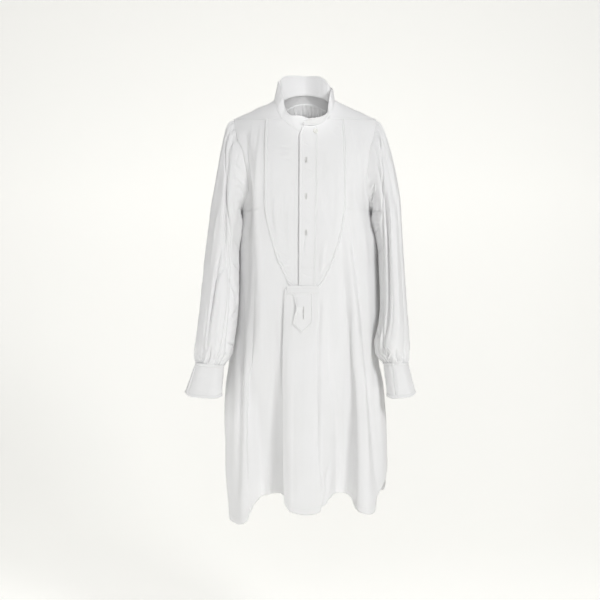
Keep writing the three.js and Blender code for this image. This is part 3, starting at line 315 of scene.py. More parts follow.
# Creases of the sleeves: turn in degrees and section, from and to; width and depth in mm
SLEEVE_CREASES = {
    "left": table(
        "a0 s0 a1 s1 width deep bow",
        (22, 1.1, 76, 3.5, 10, -7, 0), (70, 3.2, 121, 5.9, 10, -7, 2),
        (118, 5.6, 125, 8.3, 9, -7, 0), (123, 7.8, 178, 9.3, 9, -8, 3),
        (98, 2.6, 134, 6.6, 13, 4, 2), (114, 7.1, 76, 8.2, 8, -7, 0), (80, 7.9, 70, 12, 11, -6, -4),
        (125, 8, 119, 11, 10, -5, 0), (98, 8.4, 96, 12.4, 11, 3.5, 2), (56, 8.6, 52, 13, 9, -4, 2),
        (119, 10.5, 108, 13.2, 8, -6, 0), (84, 11, 84, 13.6, 6, -4, 0),
        (96, 11.6, 98, 13.6, 5, -3.5, 0), (64, 11.4, 62, 13.6, 6, -4, 0),
        (36, 10.8, 38, 13.6, 7, -3.5, 0), (20, 0.1, 54, 1.3, 8, 3.5, 0),
        (42, 0.1, 66, 1.4, 7, -3.5, 0), (70, 0.1, 84, 1.2, 6, -2, 0), (76, 1.7, 104, 0.3, 6, -3, 1),
        (86, 2.1, 118, 0.3, 6, 3, -1), (98, 2.4, 134, 0.3, 6, -3.4, 1),
        (116, 2.7, 146, 0.6, 7, 3, 1), (130, 3.4, 160, 1.4, 8, -4, 1),
        (188, 6.4, 136, 5.6, 8, -4, 1), (188, 7.6, 138, 7, 8, -6, -1),
        (186, 8.3, 146, 8.5, 8, 5, 1), (186, 9.1, 138, 9.6, 8, -7, 2),
        (190, 9.9, 138, 10.3, 8, 5, -1), (188, 11.4, 136, 10.8, 8, -6, 1),
        (180, 12.4, 134, 12, 7, 4, 1), (20, 3, 16, 8, 16, -3, 4), (60, 4.6, 50, 7.8, 14, 2.5, 3),
        (214, 4, 220, 10, 12, -4, 4), (240, 2, 248, 10, 12, 4, 4), (270, 9, 276, 13.4, 9, -4, 3),
        (286, 1, 280, 9, 12, -4, 4), (300, 9.6, 296, 13.4, 9, 4, 3), (326, 2, 322, 12, 13, 3.4, 4),
        (340, 9.8, 344, 13.6, 8, -3.6, 2), (10, 10, 6, 13.6, 8, 3.4, 2),
    ),
    "right": table(
        "a0 s0 a1 s1 width deep bow",
        (48, 0.6, 104, 3.7, 10, -8, 0), (101, 3.2, 140, 6.6, 10, -8, 0),
        (136, 6.1, 162, 9, 9, -7, 0), (161, 8.5, 121, 12.8, 9, -7, -3),
        (74, 1, 118, 4.6, 12, 4, -12), (30, 0.1, 56, 1.5, 7, 3, 0), (66, 0.2, 78, 1.5, 6, -2.4, 0),
        (44, 1.6, 62, 4.8, 11, -4, 0), (34, 2.8, 52, 5.2, 10, 3, 0), (76, 3.6, 92, 6, 10, 3, 0),
        (64, 5, 80, 11, 16, 3, 3), (38, 5, 44, 11.6, 14, -3, 3), (96, 7, 104, 11, 12, -3.5, 3),
        (121, 0.1, 103, 1.5, 6, 4.5, 0), (103, 1.4, 120, 1.8, 6, 4, 0),
        (116, 1.7, 146, 0.3, 7, -7, 0), (134, 2.2, 160, 0.9, 7, 5, 0),
        (162, 2.3, 116, 4.3, 8, -7, 0), (166, 3.4, 124, 4.8, 8, 5, 1), (182, 5.1, 128, 5, 7, -5, 1),
        (186, 5.8, 138, 5.6, 8, 5, -1), (184, 6.6, 146, 6.3, 7, -5, 1),
        (184, 9.4, 150, 9.8, 8, 4, 1), (186, 10.4, 146, 10.8, 8, -5, -1),
        (124, 11.1, 99, 11.9, 6, 5, 0), (99, 11.9, 126, 13.3, 6, 5, 0),
        (113, 11.4, 113, 12.8, 7, -5, 0), (84, 11.4, 82, 13.6, 6, -4, 0),
        (66, 11, 64, 13.6, 6, -4, 0), (48, 11.4, 46, 13.6, 6, -4, 0),
        (30, 10.8, 30, 13.6, 7, -3.5, 0), (140, 12.2, 138, 13.7, 7, -4, 0),
        (214, 5, 218, 11, 12, -4, 4), (238, 2, 246, 10, 12, 4, 4), (284, 1, 276, 9, 12, -4, 4),
        (326, 2, 322, 12, 13, 3.4, 4), (262, 9, 268, 13.4, 9, -4, 3),
        (300, 9.6, 296, 13.4, 9, 4, 3), (340, 9.8, 344, 13.6, 8, -3.6, 2),
    ),
}

# How far panels sink under the yoke; how far sleeve heads sink and move in under the armhole
YOKE_SINK = 1.3
SLEEVE_SINK = 1.3
SLEEVE_INSET = 4.5

# How far down a panel its hem is stitched, where rows of stitches run on bib and placket, and
# the columns between which the neckline interrupts the yoke's front edge
HEM_SHARE = 0.985
BIB_STITCH_INSETS = (1.6, 4.6)
PLACKET_FOOT_STITCHES = (-396.0, -399.0)
YOKE_GAP = (82, 178)

# Half the width and height of a stud hole, a sleeve slit's depth, and where a gusset's point ends
STUD_HOLE_HALF = (1.0, 5.6)
SLIT_DEPTH = 3.0
GUSSET_SHARE = 0.985

# Where the small creases stop over the box pleat: its middle from its left edge, half its
# width, and the height above which it lies flat
PLEAT_CALM = {"middle": 37.0, "half": 50.0, "foot": -500.0, "fade": 50.0}
PLEAT_SPINE = -8.0

# A sleeve's own millimetres: to one degree of turn and from section to section
SLEEVE_MM_PER_TURN = 1.15
SLEEVE_MM_PER_SECTION = 44.0

# The photograph's camera and frame
CAMERA_DISTANCE = 2.6
CAMERA_AIM = (-0.0125, 0.0, -0.475)
FRAME_WIDTH = 1.5
FLOOR_Z = -1.46

# The stage, in metres: the backdrop's reach, and the soft lights (name, place, aim, size, watts)
BACKDROP = {"front": -1.6, "side": 2.3, "bend": 1.6, "wall": 3.4, "high": 3.2}
SOFT_LIGHTS = (
    ("Key", (1.5, -2.5, 0.85), (0, 0, -0.42), (0.6, 0.6), 40),
    ("Front", (-0.2, -3.0, 0.1), (0, 0, -0.45), (1.2, 1.2), 21),
    ("Left", (-2.7, -0.6, -0.1), (0, 0, -0.5), (1.0, 2.0), 22),
    ("Right", (2.7, -0.6, -0.1), (0, 0, -0.5), (1.0, 2.0), 8),
    ("Top", (0.3, 0.0, 1.9), (0, 0, -0.2), (1.2, 1.2), 6),
)


# Values and curves


def smooth(rows, by, column, at):
    """Values at places in a table, on a curve that never overshoots its rows."""
    x, y = rows[by], rows[column]
    if x[0] > x[-1]:
        x, y = x[::-1], y[::-1]
    steps = np.diff(x)
    slopes = np.diff(y) / steps
    tangents = np.zeros_like(y)
    tangents[0], tangents[-1] = slopes[0], slopes[-1]
    before, after = slopes[:-1], slopes[1:]
    total = np.where(np.abs(before + after) > 1e-12, before + after, 1.0)
    tangents[1:-1] = np.where(before * after > 0, 2 * before * after / total, 0.0)
    at = np.clip(at, x[0], x[-1])
    i = np.clip(np.searchsorted(x, at, side="right") - 1, 0, len(steps) - 1)
    h = steps[i]
    s = (at - x[i]) / h
    s2, s3 = s * s, s * s * s
    value = (2 * s3 - 3 * s2 + 1) * y[i] + (s3 - 2 * s2 + s) * tangents[i] * h
    return value + (3 * s2 - 2 * s3) * y[i + 1] + (s3 - s2) * tangents[i + 1] * h


def row_steps(count, start=0.0, end=1.0):
    """Even steps down the rows of a grid."""
    return np.linspace(start, end, count)[:, None]


def col_steps(count, start=0.0, end=1.0):
    """Even steps over the columns of a grid."""
    return np.linspace(start, end, count)[None, :]


def mix(a, b, s):
    return a + (b - a) * s


def ease(s):
    c = np.clip(s, 0.0, 1.0)
    return c * c * (3 - 2 * c)


def bump(distance, width):
    s = np.clip(np.abs(distance) / width, 0.0, 1.0)
    return 0.5 + 0.5 * np.cos(np.pi * s)


def fold_shape(distance, width, deep):
    """A soft ridge, or a valley that narrows to a crisp line at its foot."""
    if deep > 0:
        return bump(distance, width)
    s = 1 - np.clip(np.abs(distance) / width, 0.0, 1.0)
    return 0.45 * s**3.2 + 0.55 * (0.5 - 0.5 * np.cos(np.pi * s))


def ripple(u, v, pitch, seed):
    """Soft, even noise of one pitch over a sheet, between about -1 and 1."""
    draw = np.random.default_rng(seed)
    total = np.zeros(np.broadcast(u, v).shape)
    for _ in range(9):
        angle = draw.uniform(0, np.pi)
        phase = draw.uniform(0, 2 * np.pi)
        length = pitch * draw.uniform(0.7, 1.6)
        total += np.sin((u * math.cos(angle) + v * math.sin(angle)) * 2 * np.pi / length + phase)
    return total / 3.0


def creases(rows, u, v):
    """Depth of a table of creases: soft troughs and ridges along bowed lines of a sheet."""
    out = np.zeros(np.broadcast(u, v).shape)
    for u0, v0, u1, v1, width, deep, bow in zip(*rows.values()):
        du, dv = u1 - u0, v1 - v0
        length = math.hypot(du, dv)
        along = ((u - u0) * du + (v - v0) * dv) / length**2
        arch = np.sin(np.pi * np.clip(along, 0, 1))
        side = ((u - u0) * dv - (v - v0) * du) / length - bow * arch
        out += deep * fold_shape(side, width, deep) * arch**CREASE_TAPER
    return out


# The cut of the body


def shoulder_z(x):
    """Height of the shoulder line, with its rise at the nape."""
    line = SHOULDER_PEAK - SHOULDER_SLOPE * np.hypot(x, SHOULDER_ROUND)
    return line + NAPE_RISE * np.exp(-((x / NAPE_HALF) ** 2))


def half_width(side, z):
    return np.where(side < 0, smooth(BODY, "z", "left", z), smooth(BODY, "z", "right", z))


def depth(face, z):
    return smooth(BODY, "z", "front" if face < 0 else "back", z)


def long_folds(face, x, z):
    side = half_width(x, z) / half_width(x, np.full_like(z, -1000.0))
    return smooth(LONG_FOLDS[face], "x", "out", x / side) * smooth(FOLD_GROWTH, "z", "share", z)


def body_at(face, turn, z):
    """Points of the body's cloth: turn is 0 at the middle of a face and 90 at the side seam."""
    turn, z = np.broadcast_arrays(np.asarray(turn, float), np.asarray(z, float))
    angle = np.radians(turn)
    sx = np.abs(np.sin(angle)) / half_width(turn, z)
    sy = np.maximum(1e-9, np.abs(np.cos(angle))) / depth(face, z)
    radius = (sx**SECTION_POWER + sy**SECTION_POWER) ** (-1 / SECTION_POWER)
    x = radius * np.sin(angle)
    y = radius * np.cos(angle)
    fall = np.clip((shoulder_z(x) - z) / ROUND_OVER[face], 0, 1)
    shoulder = np.sqrt(1 - (1 - fall) ** 2)
    out = long_folds(face, x, z) * ease(np.abs(np.cos(angle)) * 3)
    y = smooth(BODY, "z", "seam_y", z) + face * (y * shoulder + out)
    return np.stack([x, y, z], axis=-1)


def turn_at(face, x, z):
    """The turn of the body's cloth over x, so that body_at gives x back."""
    x, z = np.broadcast_arrays(np.asarray(x, float), np.asarray(z, float))
    share = np.minimum(1.0, np.abs(x) / half_width(x, z))
    y = depth(face, z) * (1 - share**SECTION_POWER) ** (1 / SECTION_POWER)
    return np.degrees(np.arctan2(x, y))


def body_out(face, turn, z, out):
    """Points moved out of the body's cloth along its normal."""
    turn, z = np.broadcast_arrays(np.asarray(turn, float), np.asarray(z, float))
    after, before = np.minimum(90, turn + 0.6), np.maximum(-90, turn - 0.6)
    across = body_at(face, after, z) - body_at(face, before, z)
    down = body_at(face, turn, z - 3) - body_at(face, turn, z + 3)
    normal = np.cross(across, down)
    normal /= np.linalg.norm(normal, axis=-1, keepdims=True)
    away = normal @ np.array([0.0, face, 0.2])
    normal *= np.where(away < 0, -1.0, 1.0)[..., None]
    return body_at(face, turn, z) + normal * np.asarray(out, float)[..., None]


def on_body(face, x, z, out):
    return body_out(face, turn_at(face, x, z), z, out)


def line_on_front(x, z, out):
    """A line of stitches on the front: its points, and the way that they face."""
    points = on_body(FRONT, x, z, out)
    return points, points - on_body(FRONT, x, z, 0.0)


def armhole_x(side, z):
    return side * (half_width(side, z) - smooth(ARMHOLE, "z", "inset", z))


def side_turn(side, face, z):
    """The turn of a panel's side edge: the armhole above, the side seam and the vent below."""
    side = np.broadcast_to(np.asarray(side, float), np.shape(z))
    spread = np.where((side > 0) & (face < 0), VENT_FRONT_RIGHT, VENT_SPREAD)
    below = side * (90 - spread * ease((VENT_TOP - z) / 120))
    above = turn_at(face, armhole_x(side, z), z)
    return np.where(z > ARMHOLE_FOOT, above, below)


def front_seam_z(x):
    return ARMHOLE_TOP - (SHOULDER_TIP - np.abs(x)) * 0.1


def back_seam_z(x):
    return mix(28.0, -78.0, ease(np.abs(x) / 190))


def panel_z(face, share, top_z, hem_z):
    """Heights of a panel's rows, fitted to its seam above and to its hem below."""
    rows = LEVELS[face]
    top = (1 - np.clip(share / 0.28, 0, 1)) ** 2
    foot = np.clip((share - 0.6) / 0.4, 0, 1) ** 2
    level = smooth(rows, "share", "z", share)
    return level + (top_z - rows["z"][0]) * top + (hem_z - rows["z"][-1]) * foot


def under_yoke(seam, z):
    """How far a point is tucked under the yoke: 0 below the seam, 1 above it."""
    return ease((z - seam + 2) / 4)


def side_hold(turn):
    """Fades detail out at the side edges, where front and back are sewn together."""
    return ease((90.5 - np.abs(turn)) / 6)


def bib_top(side, x):
    """Height of the bib's top edge, under the yoke and then under the neckband."""
    return np.minimum(front_seam_z(x) + YOKE_TUCK, neck_z(side, x) - NECK_GAP + 1)


def vent_corner(across, share):
    """How far a panel's corner is rounded up at the vent."""
    k = ease((across - 0.93) / 0.07)
    return VENT_CORNER * (1 - np.sqrt(1 - k**2)) * ease((share - 0.9) / 0.1)


def neckline(rows):
    """Points of the neckband's seam and of its top edge, along the band."""
    feet, tops = [], []
    for x, z, face, out, lean, rise in zip(*rows.values()):
        z = min(z, float(shoulder_z(x)) - 0.5)
        foot = on_body(int(face), np.array([x]), np.array([z]), np.array([out]))[0]
        away = (foot - NECK_MIDDLE) * (1, 1, 0)
        away /= np.linalg.norm(away)
        feet.append(foot)
        tops.append(foot + away * lean + np.array([0, 0, rise]))
    return np.array(feet), np.array(tops)


def along_points(points, count):
    """Even steps along a smooth curve through points (centripetal)."""
    extended = np.vstack([2 * points[0] - points[1], points, 2 * points[-1] - points[-2]])
    spans = len(points) - 1
    result = []
    for u in np.linspace(0, spans, count):
        i = min(int(u), spans - 1)
        t = u - i
        p = extended[i : i + 4]
        gaps = np.maximum(1e-4, np.linalg.norm(np.diff(p, axis=0), axis=1) ** 0.5)
        t0, t1, t2 = gaps
        m1 = (p[1] - p[0]) / t0 - (p[2] - p[0]) / (t0 + t1) + (p[2] - p[1]) / t1
        m2 = (p[2] - p[1]) / t1 - (p[3] - p[1]) / (t1 + t2) + (p[3] - p[2]) / t2
        m1, m2 = m1 * t1, m2 * t1
        a = 2 * p[1] - 2 * p[2] + m1 + m2
        b = -3 * p[1] + 3 * p[2] - 2 * m1 - m2
        result.append(((a * t + b) * t + m1) * t + p[1])
    return np.array(result)


def neck_z(side, x):
    """Height of the neckline over x on one half of the bib."""
    near = (NECKBAND["face"] < 0) & (NECKBAND["z"] < 10)
    places = np.flatnonzero(near)
    chosen = places[:5] if side < 0 else places[5:]
    order = chosen[np.argsort(NECKBAND["x"][chosen])]
    rows = {"x": NECKBAND["x"][order], "z": NECKBAND["z"][order]}
    return smooth(rows, "x", "z", x)


# The cut of the sleeves and the cuffs


def oval(rows, turn, along):
    """Points on a sleeve's oval sections, and the ways that they face."""
    steps = dict(rows, i=np.arange(len(rows["y"]), dtype=float))
    at = {name: smooth(steps, "i", name, along) for name in rows}
    angle = np.radians(turn)
    c, s = np.cos(angle), np.sin(angle)
    flat = 1 - 0.1 * np.sin(2 * angle) ** 2
    half_x, half_z = (at["out_x"] - at["in_x"]) / 2, (at["out_z"] - at["in_z"]) / 2
    x = (at["out_x"] + at["in_x"]) / 2 + half_x * c * flat
    z = (at["out_z"] + at["in_z"]) / 2 + half_z * c * flat
    y = at["y"] - at["deep"] * s * flat
    radial = np.stack([half_x * c, -at["deep"] * s, half_z * c], axis=-1)
    radial /= np.linalg.norm(radial, axis=-1, keepdims=True)
    return np.stack([x, y, z], axis=-1), radial


def sleeve_at(name, turn, along, out=0.0):
    """Points of a sleeve: turn is 0 outside, 90 in front and 180 inside; along counts sections."""
    rows = SLEEVES[name]
    side = -1 if name == "left" else 1
    turn, along = np.broadcast_arrays(np.asarray(turn, float), np.asarray(along, float))
    point, radial = oval(rows, turn, along)
    share = (1 - np.clip(along / 4, 0, 1)) ** 2
    angle = np.radians(turn)
    z = mix(ARMHOLE_FOOT, ARMHOLE_TOP, (1 + np.cos(angle)) / 2)
    reach = armhole_x(np.full_like(z, side), z)
    ahead = on_body(FRONT, reach, z, creases(FRONT_CREASES, reach, z))
    behind = on_body(BACK, reach, z, creases(BACK_CREASES, reach, z))
    edge = np.where((np.sin(angle) > 0)[..., None], ahead, behind)
    edge = edge + np.array([side * ARMHOLE_EASE, 0, 0])
    first, _ = oval(rows, turn, np.zeros_like(along))
    point = point + (edge - first) * share[..., None]
    total = np.zeros_like(turn) + out
    for values in zip(*SLEEVE_FOLDS[name].values()):
        line, drift, width, deep, start, end = values
        place = line + drift * (along - start) / (end - start)
        away = np.abs((turn - place + 540) % 360 - 180)
        ends = bump(along - (start + end) / 2, (end - start) / 2) ** 0.6
        total = total + deep * fold_shape(away, width, deep) * ends
    head = np.sin(turn / HEAD_PLEATS["spacing"] * 2 * np.pi) * HEAD_PLEATS["deep"]
    head = head * (1 - ease((from_top(turn) - HEAD_PLEATS["reach"] + 15) / 15))
    total = total + head * bump(along - 1, HEAD_PLEATS["to"] - 1)
    last = len(rows["y"]) - 1
    wrist = np.sin(turn / WRIST_GATHERS["spacing"] * 2 * np.pi) * WRIST_GATHERS["deep"]
    held = 1 - 0.75 * ease(along - last + 1)
    start = WRIST_GATHERS["start"]
    total = total + wrist * ease((along - start) / (last - start)) * held
    return point + radial * total[..., None]


def from_top(turn):
    """Degrees round a sleeve from its outer line, from 0 to 180."""
    return np.abs((turn + 180) % 360 - 180)


def sleeve_detail(name, turn, along):
    """Finer folds of a sleeve, in millimetres, laid over its main ones."""
    rows = SLEEVE_CREASES[name]
    scaled = {
        "u0": rows["a0"] * SLEEVE_MM_PER_TURN, "v0": rows["s0"] * SLEEVE_MM_PER_SECTION,
        "u1": rows["a1"] * SLEEVE_MM_PER_TURN, "v1": rows["s1"] * SLEEVE_MM_PER_SECTION,
        "width": rows["width"], "deep": rows["deep"], "bow": rows["bow"],
    }
    u, v = turn * SLEEVE_MM_PER_TURN, along * SLEEVE_MM_PER_SECTION
    out = creases(scaled, u, v)
    last = len(SLEEVES[name]["y"]) - 1
    fine = np.sin(turn / 9.0 * 2 * np.pi + np.sin(turn / 40.0) * 2) * 1.5
    fine = fine + np.sin(turn / 13.3 * 2 * np.pi + 1.7) * 1.2
    held = 1 - 0.55 * ease((along - last + 0.4) / 0.4)
    out = out + fine * ease((along - last + 2.6) / 2.6) * held
    head = np.sin(turn / 7.5 * 2 * np.pi + 0.6) * 1.1 * (1 - ease((from_top(turn) - 62) / 14))
    out = out + head * (1 - ease(along / 1.6))
    out = out + ripple(u, v, 70, 5) * 0.5 + ripple(u, v, 26, 6) * 0.25
    near_body = bump(np.abs(turn - 180), 70) * 0.8
    return out * ease(along / 0.8) * (1 - near_body * (out > 0))


# Materials


def node(tree, kind, inputs=(), **settings):
    """A new shader node; each input is a value or another node's output."""
    made = tree.nodes.new(kind)
    for name, value in settings.items():
        setattr(made, name, value)
    for socket, value in dict(inputs).items():
        if isinstance(value, bpy.types.NodeSocket):
            tree.links.new(value, made.inputs[socket])
        else:
            made.inputs[socket].default_value = value
    return made


def new_finish(name, settings):
    material = bpy.data.materials.new(name)
    material.use_nodes = True
    shader = material.node_tree.nodes["Principled BSDF"]
    for socket, value in settings.items():
        shader.inputs[socket].default_value = value
    return material, material.node_tree, shader


def mottle(tree, shader, scale, detail, colour, shade, stops=(0.0, 1.0)):
    """Faint clouds in the base colour, from the shaded colour up to the colour itself."""
    place = node(tree, "ShaderNodeTexCoord").outputs["Object"]
    cloud = node(tree, "ShaderNodeTexNoise", {"Vector": place, "Scale": scale, "Detail": detail})
    tone = node(tree, "ShaderNodeValToRGB", {"Fac": cloud.outputs["Fac"]})
    for element, stop, share in zip(tone.color_ramp.elements, stops, (shade, (1, 1, 1))):
        element.position = stop
        element.color = (*(c * s for c, s in zip(colour, share)), 1)
    tree.links.new(tone.outputs["Color"], shader.inputs["Base Color"])


def make_cotton(name, colour, pitch, strength):
    """Plain-weave cotton: warp and weft bump from the cloth's own coordinates, faint cloudiness."""
    sheen = {"Sheen Weight": 0.12, "Sheen Roughness": 0.5}
    matt = {"Roughness": 0.88, "Specular IOR Level": 0.25}
    material, tree, shader = new_finish(name, {**matt, **sheen})
    place = node(tree, "ShaderNodeTexCoord").outputs["UV"]
    split = node(tree, "ShaderNodeSeparateXYZ", {0: place})
    per_metre = 2 * math.pi / (pitch * MM)
    threads = []
    for axis, phase in (("X", 0.0), ("Y", 1.3)):
        run = {0: split.outputs[axis], 1: per_metre}
        run = node(tree, "ShaderNodeMath", run, operation="MULTIPLY")
        run = node(tree, "ShaderNodeMath", {0: run.outputs[0], 1: phase}, operation="ADD")
        wave = node(tree, "ShaderNodeMath", {0: run.outputs[0]}, operation="SINE")
        threads.append(wave.outputs[0])
    weave = node(tree, "ShaderNodeMath", dict(enumerate(threads)), operation="MULTIPLY")
    slub = node(tree, "ShaderNodeTexNoise", {"Vector": place, "Scale": 160.0, "Detail": 3.0})
    height = {0: weave.outputs[0], 1: 0.35, 2: slub.outputs["Fac"]}
    height = node(tree, "ShaderNodeMath", height, operation="MULTIPLY_ADD").outputs[0]
    relief = {"Height": height, "Strength": strength, "Distance": 0.0002}
    relief = node(tree, "ShaderNodeBump", relief)
    tree.links.new(relief.outputs["Normal"], shader.inputs["Normal"])
    mottle(tree, shader, 7.0, 4.0, colour, (0.972, 0.972, 0.966), (0.3, 0.75))
    return material


def make_plain(name, colour, roughness, grain):
    """Smooth finish with a faint grain, for the button and the sewing thread."""
    material, tree, shader = new_finish(name, {"Roughness": roughness})
    mottle(tree, shader, grain, 3.0, colour, (0.9, 0.9, 0.88))
    return material


def finish_of(kind):
    """The named finish, made once from the sizes and colours in the sidebar."""
    made = bpy.data.materials.get(kind)
    if made:
        return made
    look = bpy.context.scene.nightshirt_look
    if kind == "Cotton shirting":
        return make_cotton(kind, look.cotton, look.thread_pitch, 0.35)
    if kind == "Pearl button":
        return make_plain(kind, look.pearl, 0.3, 240.0)
    return make_plain(kind, look.thread, 0.8, 900.0)


# Meshes


def link(name, mesh, material, nodes=()):
    piece = bpy.data.objects.new(name, mesh)
    bpy.context.scene.collection.objects.link(piece)
    mesh.materials.append(material)
    mesh.shade_smooth()
    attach(piece, "root")
    if nodes:
        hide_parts(*nodes)
    return piece


def sheet_mesh(name, grid, closed=False, keep=None):
    """A mesh of quads on a grid of points in mm, with the cloth's own coordinates in metres."""
    rows, cols = grid.shape[:2]
    ids = np.arange(rows * cols).reshape(rows, cols)
    if closed:
        ids = np.hstack([ids, ids[:, :1]])
    quads = np.stack([ids[:-1, :-1], ids[:-1, 1:], ids[1:, 1:], ids[1:, :-1]], axis=-1)
    if keep is not None:
        quads = quads[keep]
    quads = quads.reshape(-1, 4)
    across = np.linalg.norm(np.diff(grid, axis=1), axis=-1).mean() * MM
    down = np.linalg.norm(np.diff(grid, axis=0), axis=-1).mean() * MM
    column, row = np.meshgrid(np.arange(ids.shape[1]) * across, np.arange(rows) * down)
    place = np.stack([column, row], axis=-1)
    corner = np.stack([place[:-1, :-1], place[:-1, 1:], place[1:, 1:], place[1:, :-1]], axis=-2)
    if keep is not None:
        corner = corner[keep]
    mesh = bpy.data.meshes.new(name)
    used = np.unique(quads)
    index = np.full(rows * cols, -1)
    index[used] = np.arange(len(used))
    points = grid.reshape(-1, 3)[used] * MM
    mesh.vertices.add(len(points))
    mesh.vertices.foreach_set("co", points.ravel())
    mesh.loops.add(quads.size)
    mesh.loops.foreach_set("vertex_index", index[quads].ravel())
    mesh.polygons.add(len(quads))
    mesh.polygons.foreach_set("loop_start", np.arange(0, quads.size, 4))
    mesh.uv_layers.new(name="weave")
    mesh.uv_layers["weave"].data.foreach_set("uv", corner.reshape(-1))
    mesh.update(calc_edges=True)
    mesh.validate()
    return mesh


def cloth(name, grid, thick, nodes=(), closed=False, keep=None):
    """A shell of cloth of even thickness, standing for its solids."""
    mesh = sheet_mesh(name, grid, closed, keep)
    piece = link(name, mesh, finish_of("Cotton shirting"), nodes)
    body = piece.modifiers.new("Cloth thickness", "SOLIDIFY")
    body.thickness = thick * MM
    body.offset = 0
    return piece


def normals_of(grid):
    """Unit normals of a grid of points."""
    across = np.gradient(grid, axis=1)
    down = np.gradient(grid, axis=0)
    normal = np.cross(across, down)
    length = np.linalg.norm(normal, axis=-1, keepdims=True)
    return normal / np.maximum(length, 1e-9)


def welt(distance, width=5.0, rise=1.0):
    """Height of a turned and stitched edge: a low round ridge, with a groove behind it."""
    ridge = rise * (1 - ease((distance - width * 0.45) / (width * 0.6)))
    return ridge - 0.7 * rise * bump(distance - width * 1.25, 2.6)


def stitches(name, lines, pitch=2.6, length=1.7, radius=0.26):
    """Rows of small stitches along lines of (points, normals), in mm, as one mesh."""
    corners = [(-1, -0.6, 0), (-1, 0.6, 0), (0, -1, 1), (0, 1, 1), (1, -0.6, 0), (1, 0.6, 0)]
    corners = np.array(corners) * (length / 2, radius, radius * 1.2) - (0, 0, STITCH_SINK)
    faces = [(0, 1, 3, 2), (2, 3, 5, 4), (0, 2, 4), (1, 5, 3)]
    verts, polys = [], []
    for points, normals in lines:
        steps = np.linalg.norm(np.diff(points, axis=0), axis=1)
        travel = np.concatenate([[0], np.cumsum(steps)])
        count = int(travel[-1] / pitch)
        for i in range(count):
            at = (i + 0.5) * pitch
            k = min(np.searchsorted(travel, at, side="right") - 1, len(steps) - 1)
            if steps[k] < 1e-6:
                continue
            s = (at - travel[k]) / steps[k]
            along = (points[k + 1] - points[k]) / steps[k]
            up = normals[k] / max(1e-9, np.linalg.norm(normals[k]))
            aside = np.cross(up, along)
            base = mix(points[k], points[k + 1], s)
            start = len(verts)
            for a, b, c in corners:
                verts.append((base + along * a + aside * b + up * c) * MM)
            polys.extend(tuple(start + j for j in face) for face in faces)
    mesh = bpy.data.meshes.new(name)
    mesh.from_pydata([tuple(v) for v in verts], [], polys)
    return link(name, mesh, finish_of("Sewing thread"))


def edge_lines(grid, inset_rows=(), inset_cols=(), lift=0.6, out=None):
    """Stitch lines along given rows and columns of a grid, on its outer face."""
    out = normals_of(grid) if out is None else out
    lines = [(grid[r] + out[r] * lift, out[r]) for r in inset_rows]
    lines += [(grid[:, c] + out[:, c] * lift, out[:, c]) for c in inset_cols]
    return lines


def hem_stitches(name, grid, pitch):
    stitches(name, edge_lines(grid, inset_rows=(int(len(grid) * HEM_SHARE),)), pitch=pitch)


def facing(grid, toward):
    """The grid with its columns ordered so that its normals face a direction."""
    middle = normals_of(grid)[grid.shape[0] // 2, grid.shape[1] // 2]
    return grid if middle @ np.array(toward, float) > 0 else grid[:, ::-1]


# Property groups


def tint(name, description, default):
    settings = {"subtype": "COLOR", "size": 3, "min": 0, "max": 1, "default": default}
    return bpy.props.FloatVectorProperty(name=name, description=description, **settings)


def size_in_mm(name, description, default, low, high):
    settings = {"default": default, "min": low, "max": high}
    return bpy.props.FloatProperty(name=name, description=description + ", in mm", **settings)


class NightshirtLook(bpy.types.PropertyGroup):
    """Colours and finish of the cloth, the thread and the button."""

    cotton: tint("Cotton", "Colour of the washed cotton", (0.85, 0.85, 0.855))
    thread: tint("Thread", "Colour of the sewing thread", (0.8, 0.8, 0.79))
    pearl: tint("Pearl", "Colour of the neck button", (0.86, 0.855, 0.83))
    backdrop: tint("Backdrop", "Colour of the floor and the backdrop", (0.92, 0.915, 0.885))
    thread_pitch: size_in_mm("Thread pitch", "Distance between threads of the weave", 0.55, 0.2, 2)


class NightshirtSizes(bpy.types.PropertyGroup):
    """Sizes of the cloth and its sewing."""

    cloth: size_in_mm("Cloth", "Thickness of a single layer", 1.0, 0.5, 3)
    double: size_in_mm("Doubled cloth", "Thickness of bib, neckband and cuffs", 1.5, 0.8, 4)
    stitch: size_in_mm("Stitch", "Distance between stitches", 2.6, 1.2, 6)
    crumple: size_in_mm("Crumple", "Depth of the small unevenness of the cloth", 0.55, 0, 3)


# Pieces


